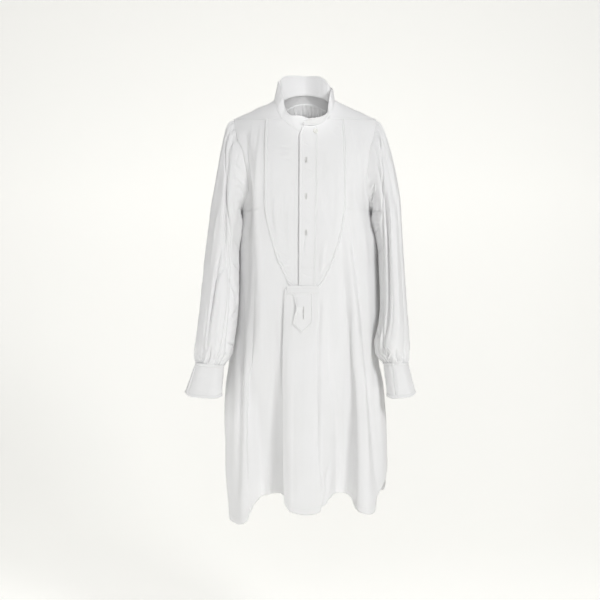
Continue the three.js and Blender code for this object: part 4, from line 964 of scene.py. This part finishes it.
class NIGHTSHIRT_OT_front(bpy.types.Operator):
    """Front panel with its box pleat, cut out for the bib"""

    bl_idname = "nightshirt.front"
    bl_label = "Front and box pleat"

    flank_cols = 74
    rows = 230

    def heights(self, x, share):
        return panel_z(FRONT, share, front_seam_z(x) + YOKE_TUCK, smooth(HEM[FRONT], "x", "z", x))

    def flank(self, side, share, middle):
        s = col_steps(self.flank_cols)
        start = middle["left"] + PLEAT_UNDERLAP if side < 0 else middle["right"] - PLEAT_UNDERLAP
        x = np.broadcast_to(mix(start, side * 150.0, s), (share.shape[0], self.flank_cols)).copy()
        for _ in range(5):
            z = self.heights(x, share) + vent_corner(s, share)
            turn = mix(turn_at(FRONT, start, z), side_turn(side, FRONT, z), s)
            x = body_at(FRONT, turn, z)[..., 0]
        return turn, z, np.zeros_like(z)

    def execute(self, context):
        sizes = context.scene.nightshirt_sizes
        share = row_steps(self.rows)
        spine = self.heights(np.full_like(share, PLEAT_SPINE), share)
        middle = {key: smooth(PLEAT_EDGES, "z", key, spine) for key in ("left", "right")}
        parts, fold = [], []
        turns = col_steps(6)

        def add(turn, z, out, in_pleat):
            parts.append((turn, z, out))
            fold.extend([in_pleat] * turn.shape[1])

        def strip(x, out):
            x = np.broadcast_to(x, (self.rows, np.shape(x)[1]))
            z = self.heights(x, share)
            add(turn_at(FRONT, x, z), z, np.broadcast_to(out, z.shape), True)

        def turn_over(x, way, low, backward=False):
            angle = np.pi * turns[:, 1:-1]
            order = slice(None, None, -1) if backward else slice(None)
            reach = (np.sin(angle) * PLEAT_LAYER * 0.5 * way)[:, order]
            lift = (low + PLEAT_LAYER * (1 - np.cos(angle)) / 2)[:, order]
            strip(x + reach, lift)

        under, layer = PLEAT_UNDERLAP, PLEAT_LAYER
        left, right = middle["left"], middle["right"]
        turn, z, out = self.flank(-1, share, middle)
        add(turn[:, ::-1], z[:, ::-1], out, False)
        turn_over(left + under, 1, 0)
        strip(left + under * col_steps(7, 1, 0), layer)
        turn_over(left, -1, layer)
        strip(mix(left, right, col_steps(34)), 2 * layer)
        turn_over(right, 1, layer, True)
        strip(right - under * col_steps(7), layer)
        turn_over(right - under, -1, 0, True)
        turn, z, out = self.flank(1, share, middle)
        add(turn, z, out, False)
        turn, z, out = (np.hstack([part[k] for part in parts]) for k in range(3))
        x = body_at(FRONT, turn, z)[..., 0]
        detail = creases(FRONT_CREASES, x, z) + ripple(x, z * 0.45, 52, 3) * sizes.crumple
        hem = z - self.heights(x, np.ones_like(x))
        detail = detail + 0.3 * (1 - ease((hem - 9) / 2)) * ease(share * 4 - 2)
        hold = 1 - ease((z - PLEAT_CALM["foot"]) / PLEAT_CALM["fade"])
        off_middle = x - smooth(PLEAT_EDGES, "z", "left", z) - PLEAT_CALM["middle"]
        inner = np.abs(off_middle) < PLEAT_CALM["half"]
        detail = np.where(inner, detail * hold, detail)
        under = under_yoke(front_seam_z(x), z)
        out = out + detail * side_hold(turn) * (1 - under) - YOKE_SINK * under
        grid = body_out(FRONT, turn, z, out)
        fold = np.array(fold)
        centre_x, centre_z = x[:-1, :-1], z[:-1, :-1]
        inside = (centre_x > smooth(BIB_EDGES, "z", "left", centre_z) + BIB_OVER_FRONT) & (
            centre_x < smooth(BIB_EDGES, "z", "right", centre_z) - BIB_OVER_FRONT
        )
        above = centre_z > BIB_FOOT - 0.5
        in_pleat = fold[:-1] | fold[1:]
        keep = ~((inside | in_pleat) & above)
        piece = cloth("Front_cloth", grid, sizes.cloth, ("Front_panel",), keep=keep)
        hem_stitches("Front_hem_stitches", facing(grid, (0, -1, 0)), sizes.stitch)
        return {"FINISHED"}


class NIGHTSHIRT_OT_back(bpy.types.Operator):
    """Back panel, gathered at its middle into the yoke"""

    bl_idname = "nightshirt.back"
    bl_label = "Back"

    cols = 230
    rows = 158

    def execute(self, context):
        sizes = context.scene.nightshirt_sizes
        share, across = row_steps(self.rows), col_steps(self.cols, -1, 1)
        s = np.sign(across) * np.abs(across) ** (1.2 - 0.2 * ease(share * 2))
        side = np.where(s < 0, -1.0, 1.0)
        x = s * 170.0
        for _ in range(5):
            hem = smooth(HEM[BACK], "x", "z", x)
            z = panel_z(BACK, share, back_seam_z(x) + YOKE_TUCK, hem)
            z = z + vent_corner(np.abs(s), share)
            turn = np.abs(s) * side_turn(side, BACK, z)
            x = body_at(BACK, turn, z)[..., 0]
        near = (1 - ease(share / 0.2)) * (0.15 + 0.85 * ease(share / 0.04))
        inside = 1 - ease((np.abs(x) - 60) / 16)
        gather = np.sin(2 * np.pi * x / 11) * 2.6 + np.sin(2 * np.pi * x / 7.3 + 1) * 0.9
        gather = gather * near * inside
        detail = creases(BACK_CREASES, x, z) * ease(share * 8)
        detail = detail + ripple(x, z * 0.45, 55, 8) * sizes.crumple
        hold = side_hold(turn) * ease(share * 30)
        under = under_yoke(back_seam_z(x), z)
        out = (gather + detail * hold) * (1 - under) - YOKE_SINK * under
        grid = body_out(BACK, turn, z, out)
        piece = cloth("Back_cloth", grid, sizes.cloth, ("Back_panel",))
        hem_stitches("Back_hem_stitches", facing(grid, (0, 1, 0)), sizes.stitch)
        return {"FINISHED"}


class NIGHTSHIRT_OT_yoke(bpy.types.Operator):
    """Yoke over the shoulders, cut out for the neck"""

    bl_idname = "nightshirt.yoke"
    bl_label = "Yoke"

    cols = 260
    rows = 96

    def execute(self, context):
        sizes = context.scene.nightshirt_sizes
        back, s = row_steps(self.rows, -1, 1), col_steps(self.cols, -1, 1)
        side = np.where(s < 0, -1.0, 1.0)
        x = np.broadcast_to(s * SHOULDER_TIP, (self.rows, self.cols)).copy()
        for _ in range(5):
            seam = np.where(back < 0, front_seam_z(x), back_seam_z(x))
            top = shoulder_z(x) - 0.05
            z = top - np.maximum(0, top - seam) * back**2
            level = np.clip(z, ARMHOLE_FOOT, ARMHOLE_TOP)
            x = np.abs(s) * armhole_x(np.broadcast_to(side, z.shape), level)
        ahead = body_at(FRONT, turn_at(FRONT, x, z), z)
        behind = body_at(BACK, turn_at(BACK, x, z), z)
        grid = np.where(back[..., None] < 0, ahead, behind)
        normal = normals_of(grid)
        normal *= np.where(normal[..., 2:3] < 0, -1.0, 1.0)
        edge = np.minimum(1 - np.abs(back), 0.5) * 70
        lift = welt(edge, 4.0, 0.3) + ripple(x, grid[..., 1], 34, 12) * 0.5 * ease(edge / 8)
        grid = grid + normal * lift[..., None]
        feet, _ = neckline(NECKBAND)
        ring = along_points(feet[1:-1], 160)[:, :2]
        middle = NECK_MIDDLE[:2]
        reach = np.linalg.norm(ring - middle, axis=1) + 0.4
        bearing = np.arctan2(ring[:, 0] - middle[0], -(ring[:, 1] - middle[1]))
        order = np.argsort(bearing)
        offset = grid[..., :2] - middle
        turn = np.arctan2(offset[..., 0], -offset[..., 1])
        limit = np.interp(turn, bearing[order], reach[order], period=2 * np.pi)
        distance = np.linalg.norm(offset, axis=-1)
        out = distance > limit
        keep = out[:-1, :-1] | out[1:, :-1] | out[:-1, 1:] | out[1:, 1:]
        pull = ~out & (limit - distance < 9)
        ratio = np.where(pull, limit / np.maximum(distance, 1e-6), 1.0)
        grid[..., :2] = np.where(pull[..., None], middle + offset * ratio[..., None], grid[..., :2])
        piece = cloth("Yoke_cloth", grid, sizes.cloth, ("Shoulder_yoke",), keep=keep)
        up = facing(grid, (0, 0, 1))
        out = normals_of(up)
        lines = []
        left, right = YOKE_GAP
        for row, start, end in ((3, 0, left), (3, right, self.cols), (self.rows - 4, 0, self.cols)):
            lines += edge_lines(up[:, start:end], (row,), lift=0.75, out=out[:, start:end])
        stitches("Yoke_stitches", lines, pitch=sizes.stitch)
        return {"FINISHED"}


class NIGHTSHIRT_OT_bib(bpy.types.Operator):
    """The two halves of the bib, with turned and stitched rims"""

    bl_idname = "nightshirt.bib"
    bl_label = "Bib halves"

    cols = 78
    rows = 200

    def out_of_front(self, side, x, z):
        """How far the middle of the bib's cloth stands off the front, with its rim rolled down."""
        key = "left" if side < 0 else "right"
        inner = BIB_PARTING + side * 0.3
        slope = (smooth(BIB_EDGES, "z", key, z + 1) - smooth(BIB_EDGES, "z", key, z - 1)) / 2
        rim = (smooth(BIB_EDGES, "z", key, z) - x) * side / np.sqrt(1 + slope**2)
        edge = np.minimum(np.maximum(rim, 0), z - BIB_FOOT + 1.0)
        top = bib_top(side, x)
        detail = creases(BIB_CREASES, x, z) + ripple(x, z, 30, 21 if side < 0 else 22) * 0.22
        detail = detail * ease(edge / 14 + 0.25) * ease((top - z) / 16 + 0.1)
        calm = ease(np.abs(x - inner) / 18 + 0.05) if side > 0 else ease((x + 16) / -20 + 1.0)
        detail = np.where(x < 32, detail * calm, detail)
        detail = np.maximum(detail, -0.9) if side > 0 else detail
        pucker = np.sin(z / 5.2 + np.sin(z / 23) * 2) * 0.28 * bump(edge - 7, 6)
        out = np.maximum(BIB_OUT + detail + welt(edge) + pucker, BIB_OUT - 1.0)
        beside = bump(x - smooth(PLACKET_EDGES, "z", "left", z) + 0.6, 4.2)
        out = out - PLACKET_GROOVE * beside * ease((z - PLACKET_FOOT) / 20)
        rolled = creases(FRONT_CREASES, x, z) + BIB_ROLL
        out = mix(out, np.minimum(out, rolled), 1 - ease(rim / 2.6))
        return mix(out, -0.9, under_yoke(front_seam_z(x), z))

    def half(self, name, side, node):
        sizes = bpy.context.scene.nightshirt_sizes
        share, s = row_steps(self.rows), col_steps(self.cols)
        inner = BIB_PARTING + side * 0.3
        key = "left" if side < 0 else "right"
        level = mix(-30.0, BIB_FOOT, share)
        x = mix(inner, smooth(BIB_EDGES, "z", key, level), s)
        top = bib_top(side, x)
        z = level + (top + 30) * (1 - np.clip(share / 0.5, 0, 1)) ** 2
        x = mix(inner, smooth(BIB_EDGES, "z", key, z), s)
        grid = on_body(FRONT, x, z, self.out_of_front(side, x, z))
        piece = cloth(name, grid, sizes.double, (node,))

    def execute(self, context):
        sizes = context.scene.nightshirt_sizes
        lines = []
        for key, side in (("left", -1), ("right", 1)):
            self.half(f"Bib_{key}_cloth", side, f"Bib_{key}")
            z = np.linspace(-34, BIB_FOOT + 4, 260)
            edge = smooth(BIB_EDGES, "z", key, z)
            slope = np.gradient(edge, z)
            for inset in BIB_STITCH_INSETS:
                x = edge - side * inset / np.sqrt(1 + slope**2)
                low = z + np.abs(inset * slope / np.sqrt(1 + slope**2))
                out = self.out_of_front(side, x, low) + sizes.double / 2
                lines.append(line_on_front(x, low, out))
        stitches("Bib_stitches", lines, pitch=sizes.stitch)
        return {"FINISHED"}


class NIGHTSHIRT_OT_placket(bpy.types.Operator):
    """Placket of the front opening, with its stud holes and double stitching"""

    bl_idname = "nightshirt.placket"
    bl_label = "Placket"

    cols = 36
    rows = 260

    def execute(self, context):
        sizes = context.scene.nightshirt_sizes
        z, s = row_steps(self.rows, PLACKET_TOP, PLACKET_FOOT), col_steps(self.cols)
        left, right = smooth(PLACKET_EDGES, "z", "left", z), smooth(PLACKET_EDGES, "z", "right", z)
        x = mix(left, right, s)
        z = np.broadcast_to(z, x.shape)
        edge = np.minimum(x - left, right - x)
        wave = np.sin(z / 31.0) * 0.5 + np.sin(z / 13.0 + 2) * 0.25
        detail = creases(PLACKET_CREASES, x, z) + welt(edge, 4.0, 0.6)
        free = ease((z - PLACKET_FOOT - 44) / 60) * ease((left + 12 - x) / 12)
        out = PLACKET_OUT + detail + free * (0.9 + wave)
        hole = np.zeros_like(x, bool)
        for hole_x, hole_z in zip(STUD_HOLES["x"], STUD_HOLES["z"]):
            near = np.hypot((x - hole_x) / 5.0, (z - hole_z) / 10.0)
            out = out - 0.5 * bump(near, 1.0)
            wide, high = STUD_HOLE_HALF
            hole |= (np.abs(x - hole_x) < wide) & (np.abs(z - hole_z) < high)
        keep = ~hole[:-1, :-1]
        grid = on_body(FRONT, x, z, out)
        piece = cloth("Placket_cloth", grid, sizes.double, ("Placket",), keep=keep)
        lines = []
        height = np.linspace(PLACKET_TOP - 4, PLACKET_FOOT + 2, 300)
        for key, inset in (("left", 2.0), ("right", -2.0), ("right", -5.5)):
            along = smooth(PLACKET_EDGES, "z", key, height) + inset
            lines.append(line_on_front(along, height, PLACKET_OUT + 1.3))
        for foot in PLACKET_FOOT_STITCHES:
            across = np.linspace(-13, 24, 30)
            lines.append(line_on_front(across, np.full_like(across, foot), PLACKET_OUT + 1.0))
        stitches("Placket_stitches", lines, pitch=sizes.stitch)
        buttonholes("Stud_hole_stitches", STUD_HOLES, 5.8, 1.2, lambda x, z: PLACKET_OUT + 0.75)
        return {"FINISHED"}


def buttonholes(name, rows, half_length, narrow, out):
    """Close stitches round each buttonhole, as one mesh."""
    lines = []
    for x, z in zip(rows["x"], rows["z"]):
        angle = np.linspace(0, 2 * np.pi, 60)
        round_x = x + np.sign(np.sin(angle)) * narrow * np.abs(np.sin(angle)) ** 0.5
        round_z = z + half_length * np.cos(angle)
        for grow in (0.0, 0.55, 1.1):
            px = x + (round_x - x) * (1 + grow / narrow)
            pz = round_z + np.cos(angle) * grow
            lines.append(line_on_front(px, pz, out(px, pz) + 0.25))
    return stitches(name, lines, pitch=0.8, length=0.9, radius=0.36)


class NIGHTSHIRT_OT_tab(bpy.types.Operator):
    """Bar across the foot of the bib, and the pointed tab that hangs from it"""

    bl_idname = "nightshirt.tab"
    bl_label = "Bar and tab"

    def execute(self, context):
        sizes = context.scene.nightshirt_sizes
        left, right, top, foot = (BAR[key] for key in ("left", "right", "top", "foot"))
        top = top + BAR["under"]
        z, x = np.meshgrid(np.linspace(top, foot, 26), np.linspace(left, right, 110), indexing="ij")
        edge = np.minimum(np.minimum(top - z, z - foot), np.minimum(x - left, right - x))
        out = BAR["out"] - 1.6 + welt(edge, 2.6, 0.5) + np.sin(x / 6.5) * 0.18
        out = out - 1.0 * (1 - ease(edge / 2.0))
        grid = on_body(FRONT, x, z, out)
        piece = cloth("Bar_cloth", grid, sizes.double, ("Bib_bar",))
        lines = []
        across = np.linspace(left + 2, right - 2, 80)
        for level in (BAR["top"] - 3.2, foot + 2.6):
            lines.append(line_on_front(across, np.full_like(across, level), BAR["out"] + 1.15))
        rows, cols = 120, 52
        top, square = TAB_EDGES["z"][[0, -1]]
        share = np.linspace(0, 1, rows)
        z, s = np.meshgrid(mix(top, square, share), np.linspace(0, 1, cols), indexing="ij")
        x = mix(smooth(TAB_EDGES, "z", "left", z), smooth(TAB_EDGES, "z", "right", z), s)
        tip_x, tip_z = TAB_TIP
        point = np.maximum(0, 1 - np.abs((x - tip_x) / np.where(x < tip_x, 21, 24)))
        share = share[:, None]
        drop = z - (square - tip_z) * point * ease((share - 0.7) / 0.3)
        lift = smooth(TAB_EDGES, "z", "lift", z) * (1 - s) ** 2
        edge = np.minimum(np.minimum(s, 1 - s) * 44, (1 - share) * (top - square))
        curl = np.sin(share * 9 + s * 2) * 0.5 * ease(share * 5)
        out = TAB_OUT + lift + welt(edge, 3.4, 0.6) + np.abs(curl)
        grid = on_body(FRONT, x, drop, out)
        slot_x, slot_top, slot_foot = TAB_HOLE
        hole = (np.abs(x - slot_x) < 0.9) & (drop < slot_top) & (drop > slot_foot)
        piece = cloth("Tab_cloth", grid, sizes.double * 0.9, ("Bib_tab",), keep=~hole[:-1, :-1])
        tab = facing(grid, (0, -1, 0))
        lines += edge_lines(tab, inset_cols=(3, cols - 4), lift=0.95)
        lines += edge_lines(tab, inset_rows=(rows - 5,), lift=0.95)
        stitches("Bar_and_tab_stitches", lines, pitch=sizes.stitch)
        hole_rows = table("x z", (slot_x, (slot_top + slot_foot) / 2))
        lift = lambda px, pz: TAB_OUT + 0.55 + smooth(TAB_EDGES, "z", "lift", pz) * 0.35
        buttonholes("Tab_hole_stitches", hole_rows, 15.4, 1.2, lift)
        return {"FINISHED"}


class NIGHTSHIRT_OT_neckband(bpy.types.Operator):
    """Neckband, standing round the neck with its ends lapping"""

    bl_idname = "nightshirt.neckband"
    bl_label = "Neckband"

    cols = 420
    rows = 34

    def execute(self, context):
        sizes = context.scene.nightshirt_sizes
        feet, tops = neckline(NECKBAND)
        foot, top = along_points(feet, self.cols), along_points(tops, self.cols)
        s = np.linspace(0, 1, self.rows)[:, None, None]
        to_end = 1 - np.linspace(0, 1, self.cols)[:, None]
        top = mix(top, foot, 0.5 * (1 - ease(to_end / 0.035)))
        outward = foot - NECK_MIDDLE
        outward[:, 2] = 0
        outward /= np.linalg.norm(outward, axis=1, keepdims=True)
        foot = foot - outward * 1.7 * (1 - ease(to_end / 0.16 - 0.1))
        rise = top - foot
        low = foot - rise / np.linalg.norm(rise, axis=1, keepdims=True) * BAND_TUCK
        grid = mix(low[None], top[None], s)
        normal = normals_of(grid)
        outward = grid[..., :2] - NECK_MIDDLE[:2]
        flip = np.einsum("ijk,ijk->ij", normal[..., :2], outward) < 0
        normal[flip] *= -1
        u, v = col_steps(self.cols), row_steps(self.rows)
        high = np.linalg.norm(top - foot, axis=1)[None, :]
        edge = np.minimum(np.minimum(v, 1 - v) * high, np.minimum(u, 1 - u) * 430)
        detail = welt((1 - v) * high, 4.0, 0.6) + welt(v * high, 3.4, 0.5)
        detail = detail + np.sin(u * 95) * 0.25 * v
        inside = ease(v * 3) * ease((1 - v) * 4 + 0.3)
        for place, width, deep in zip(*BAND_CREASES.values()):
            detail = detail + deep * bump(u - place, width) * inside
        grid = grid + normal * (detail * ease(edge / 3 + 0.3))[..., None]
        piece = cloth("Neckband_cloth", grid, sizes.double, ("Neckband",))
        lift = sizes.double / 2 + 0.1
        lines = []
        for face, rows in ((1, (4, self.rows - 4)), (-1, (self.rows - 4,))):
            lines += edge_lines(grid, inset_rows=rows, lift=lift, out=normal * face)
        stitches("Neckband_stitches", lines, pitch=sizes.stitch)
        return {"FINISHED"}


class NIGHTSHIRT_OT_button(bpy.types.Operator):
    """Small round button at the neck, with a rim and thread"""

    bl_idname = "nightshirt.button"
    bl_label = "Neck button"

    def execute(self, context):
        radius, half = BUTTON["radius"], BUTTON["thick"] / 2
        profile = BUTTON_PROFILE["out"] * radius, BUTTON_PROFILE["high"] * half
        spokes = 48
        angle = np.linspace(0, 2 * np.pi, spokes, endpoint=False)
        rings = [
            np.stack([np.cos(angle) * out, np.sin(angle) * out, np.full(spokes, high)], -1)
            for out, high in list(zip(*profile))[1:-1]
        ]
        ends = [[[0, 0, profile[1][i]]] for i in (0, -1)]
        points = np.concatenate([ends[0], *rings, ends[1]])
        around = [(i, (i + 1) % spokes) for i in range(spokes)]
        faces = [(0, 1 + i, 1 + j) for i, j in around]
        for k in range(len(rings) - 1):
            a, b = 1 + k * spokes, 1 + (k + 1) * spokes
            faces += [(a + i, b + i, b + j, a + j) for i, j in around]
        last, end = 1 + (len(rings) - 1) * spokes, len(points) - 1
        faces += [(last + i, end, last + j) for i, j in around]
        where = (np.array([BUTTON["x"]]), np.array([BUTTON["z"]]))
        centre = on_body(FRONT, *where, np.array([BUTTON["out"]]))[0]
        up = on_body(FRONT, *where, np.array([BUTTON["out"] + 5]))[0] - centre
        turn = Vector((0, 0, 1)).rotation_difference(Vector(up)).to_matrix()
        placed = [(Vector(centre) + turn @ Vector(p)) * MM for p in points]
        mesh = bpy.data.meshes.new("Neck_button_pearl")
        mesh.from_pydata(placed, [], faces)
        link("Neck_button_pearl", mesh, finish_of("Pearl button"), ("Neck_button",))
        lines = []
        for degrees in (45, 225):
            c, s = math.cos(math.radians(degrees)), math.sin(math.radians(degrees))
            for shift in (-0.35, 0.0, 0.35):
                flat = [(c * r - shift * s, s * r + shift * c, half * 0.32) for r in THREAD_RUN]
                run = [np.array(Vector(centre) + turn @ Vector(p)) for p in flat]
                lines.append((np.array(run), np.repeat([up], len(run), axis=0)))
        stitches("Button_thread", lines, pitch=0.7, length=1.0, radius=0.3)
        return {"FINISHED"}


class NIGHTSHIRT_OT_sleeves(bpy.types.Operator):
    """Both sleeves, gathered at head and wrist, with their underarm gussets"""

    bl_idname = "nightshirt.sleeves"
    bl_label = "Sleeves and gussets"

    cols = 180
    rows = 150

    def sleeve(self, name):
        sizes = bpy.context.scene.nightshirt_sizes
        last = len(SLEEVES[name]["y"]) - 1
        turn = np.linspace(0, 360, self.cols, endpoint=False)[None, :]
        turn, along = np.broadcast_arrays(turn, row_steps(self.rows, 0, last))
        detail = sleeve_detail(name, turn, along)
        slit = bump(((turn - CUFF_OPENING[name] + 180) % 360) - 180, 7)
        slit = slit * ease((along - last + 2.2) / 1.2)
        detail = detail - SLIT_DEPTH * slit * (1 - 0.5 * ease(along - last + 1))
        tuck = 1 - ease(along / 0.5)
        grid = sleeve_at(name, turn, along, detail - SLEEVE_SINK * tuck)
        grid[..., 0] += (SLEEVE_INSET if name == "left" else -SLEEVE_INSET) * tuck
        piece = cloth(f"Sleeve_{name}_cloth", grid, sizes.cloth, (f"Sleeve_{name}",), closed=True)

    def gusset(self, name):
        sizes = bpy.context.scene.nightshirt_sizes
        share, across = row_steps(44, 0, GUSSET_SHARE), col_steps(44, -1, 1)
        turn = 180 + across * GUSSET_TURNS * (1 - share)
        along = np.broadcast_to(share * GUSSET_DEPTH, turn.shape)
        reach = GUSSET_TURNS * 1.15 * 1.9
        edge = np.minimum((1 - np.abs(across)) * (1 - share) * reach * 0.8, (share + 0.02) * 90)
        detail = sleeve_detail(name, turn, along)
        rise = 1.3 + welt(edge, 3.0, 0.3) - 0.7 * (1 - ease(edge / 1.5))
        grid = sleeve_at(name, turn, along, detail + rise)
        piece = cloth(f"Gusset_{name}_cloth", grid, sizes.cloth * 0.8, (f"Gusset_{name}",))
        out = normals_of(grid)
        away = np.array([-1.0 if name == "right" else 1.0, 0, 0])
        if (out[22, 22] @ away) < 0:
            out = -out
        return edge_lines(grid[1:], inset_cols=(3, 40), out=out[1:])

    def execute(self, context):
        sizes = context.scene.nightshirt_sizes
        lines = []
        for name in ("left", "right"):
            self.sleeve(name)
            lines += self.gusset(name)
            turn = np.linspace(0, 360, 240)
            seam = np.full_like(turn, 0.08)
            points = sleeve_at(name, turn, seam, 0.65)
            lines.append((points, points - sleeve_at(name, turn, seam)))
        stitches("Sleeve_stitches", lines, pitch=sizes.stitch)
        return {"FINISHED"}


class NIGHTSHIRT_OT_cuffs(bpy.types.Operator):
    """Both cuffs, with lapping ends, round corners and a stitched edge"""

    bl_idname = "nightshirt.cuffs"
    bl_label = "Cuffs"

    cols = 240
    rows = 50

    def execute(self, context):
        sizes = context.scene.nightshirt_sizes
        lines = []
        whole = 360 + CUFF_OVERLAP
        girth = 2 * math.pi * CUFF_RADIUS * whole / 360
        for name in ("left", "right"):
            rows = dict(CUFFS[name], i=np.array([0.0, 1.0]))
            u, v = col_steps(self.cols), row_steps(self.rows)
            turn = CUFF_OPENING[name] - CUFF_OVERLAP / 2 + u * whole
            from_end = np.minimum(u, 1 - u) * girth
            k = np.clip(1 - from_end / CUFF_CORNER, 0, 1)
            s = v * (1 - CUFF_CORNER * (1 - np.sqrt(1 - k * k)) / CUFF_DEPTH * 0.9)
            at = {key: smooth(rows, "i", key, s) for key in CUFFS[name]}
            high = CUFF_DEPTH * (s[-1] - s)
            edge = np.minimum(np.minimum(from_end + 0 * v, high), CUFF_DEPTH * s + 1.5)
            wave = np.sin(np.radians(turn) * 3 + 1) * 1.2 * s + np.sin(np.radians(turn) * 7) * 0.5
            wave = wave + ripple(turn * 0.73, s * CUFF_DEPTH, 24, 31) * 0.45
            spiral = CUFF_SPIRAL * (1 - 2 * u) + wave * ease(from_end / 30) + welt(edge, 6.0, 1.2)
            wide, high = at["out_x"] - at["in_x"], at["out_z"] - at["in_z"]
            reach = np.hypot(wide, high) / 2
            c = np.cos(np.radians(turn)) * (reach + spiral) / reach
            x = (at["out_x"] + at["in_x"]) / 2 + wide / 2 * c
            z = (at["out_z"] + at["in_z"]) / 2 + high / 2 * c
            z = z + CUFF_SIDE_RISE * s * np.cos(np.radians(turn)) ** 6
            y = at["y"] - (at["deep"] + spiral) * np.sin(np.radians(turn))
            grid = np.stack([x, y, z], axis=-1)
            piece = cloth(f"Cuff_{name}_cloth", grid, sizes.double, (f"Cuff_{name}",))
            out = normals_of(grid)
            centre = np.array([(x.min() + x.max()) / 2, y.mean(), z.mean()])
            if np.einsum("ijk,ijk->", out, grid - centre) < 0:
                out = -out
            lift = sizes.double / 2 + 0.15
            lines += edge_lines(grid, inset_rows=(4, self.rows - 5), lift=lift, out=out)
            lines += edge_lines(grid[4:-4], (), (6, self.cols - 7), lift, out[4:-4])
        stitches("Cuff_stitches", lines, pitch=sizes.stitch)
        return {"FINISHED"}


class NIGHTSHIRT_OT_stage(bpy.types.Operator):
    """Camera, soft studio light and a pale floor that runs up into the backdrop"""

    bl_idname = "nightshirt.stage"
    bl_label = "Stage"

    def lamp(self, name, kind, place, aim, **settings):
        data = bpy.data.lights.new(name, kind)
        for setting, value in settings.items():
            setattr(data, setting, value)
        lamp = bpy.data.objects.new(name, data)
        lamp.location = place
        lamp.rotation_euler = (Vector(aim) - Vector(place)).to_track_quat("-Z", "Y").to_euler()
        bpy.context.scene.collection.objects.link(lamp)

    def execute(self, context):
        scene = context.scene
        scene.view_settings.view_transform = "Standard"
        scene.view_settings.look = "None"
        camera_data = bpy.data.cameras.new("Camera")
        camera_data.lens = camera_data.sensor_width * CAMERA_DISTANCE / FRAME_WIDTH
        camera = bpy.data.objects.new("Camera", camera_data)
        camera.location = (CAMERA_AIM[0], CAMERA_AIM[1] - CAMERA_DISTANCE, CAMERA_AIM[2])
        camera.rotation_euler = (math.pi / 2, 0, 0)
        scene.collection.objects.link(camera)
        scene.camera = camera
        look = scene.nightshirt_look
        profile = [(BACKDROP["front"], FLOOR_Z), (0.0, FLOOR_Z)]
        foot, bend = BACKDROP["wall"] - BACKDROP["bend"], BACKDROP["bend"]
        for angle in np.linspace(0, math.pi / 2, 25):
            profile.append((foot + bend * math.sin(angle), FLOOR_Z + bend * (1 - math.cos(angle))))
        profile.append((BACKDROP["wall"], BACKDROP["high"]))
        side = BACKDROP["side"]
        grid = np.array([[(x, y, z) for x in (-side, 0, side)] for y, z in profile]) / MM
        mesh = sheet_mesh("Backdrop", grid)
        mesh.shade_smooth()
        paper = (*look.backdrop, 1)
        plain = {"Base Color": paper, "Roughness": 1.0, "Specular IOR Level": 0.0}
        glow = {"Emission Color": paper, "Emission Strength": 0.49}
        mesh.materials.append(new_finish("Backdrop paper", {**plain, **glow})[0])
        backdrop = bpy.data.objects.new("Backdrop", mesh)
        scene.collection.objects.link(backdrop)
        world = bpy.data.worlds.new("Studio")
        world.use_nodes = True
        colour, strength = world.node_tree.nodes["Background"].inputs[:2]
        colour.default_value, strength.default_value = (1, 1, 0.99, 1), 0.17
        scene.world = world
        for name, place, aim, (wide, high), watts in SOFT_LIGHTS:
            shape = {"shape": "RECTANGLE", "size": wide, "size_y": high}
            self.lamp(name, "AREA", place, aim, energy=watts, **shape)
        narrow = {"spot_size": math.radians(3.4), "spot_blend": 1.0, "shadow_soft_size": 0.08}
        self.lamp("Neck", "SPOT", (0, -2.3, -0.42), (0, 0.08, 0.045), energy=125, **narrow)
        return {"FINISHED"}


class NIGHTSHIRT_PT_panel(bpy.types.Panel):
    """Sidebar panel with the nightshirt's sizes, colours and pieces"""

    bl_label = "Nightshirt"
    bl_idname = "NIGHTSHIRT_PT_panel"
    bl_space_type = "VIEW_3D"
    bl_region_type = "UI"
    bl_category = "Nightshirt"

    def draw(self, context):
        layout = self.layout
        for group in (context.scene.nightshirt_sizes, context.scene.nightshirt_look):
            for name in group.__annotations__:
                layout.prop(group, name)
        for operator in OPERATORS:
            layout.operator(operator.bl_idname)


OPERATORS = (
    NIGHTSHIRT_OT_stage,
    NIGHTSHIRT_OT_front,
    NIGHTSHIRT_OT_back,
    NIGHTSHIRT_OT_yoke,
    NIGHTSHIRT_OT_bib,
    NIGHTSHIRT_OT_placket,
    NIGHTSHIRT_OT_tab,
    NIGHTSHIRT_OT_neckband,
    NIGHTSHIRT_OT_button,
    NIGHTSHIRT_OT_sleeves,
    NIGHTSHIRT_OT_cuffs,
)
CLASSES = (NightshirtLook, NightshirtSizes, *OPERATORS, NIGHTSHIRT_PT_panel)


def register():
    for cls in CLASSES:
        bpy.utils.register_class(cls)
    bpy.types.Scene.nightshirt_look = bpy.props.PointerProperty(type=NightshirtLook)
    bpy.types.Scene.nightshirt_sizes = bpy.props.PointerProperty(type=NightshirtSizes)


def unregister():
    del bpy.types.Scene.nightshirt_sizes
    del bpy.types.Scene.nightshirt_look
    for cls in reversed(CLASSES):
        bpy.utils.unregister_class(cls)


def main():
    register()
    for operator in OPERATORS:
        group, name = operator.bl_idname.split(".")
        getattr(getattr(bpy.ops, group), name)()


if __name__ == "__main__":
    main()
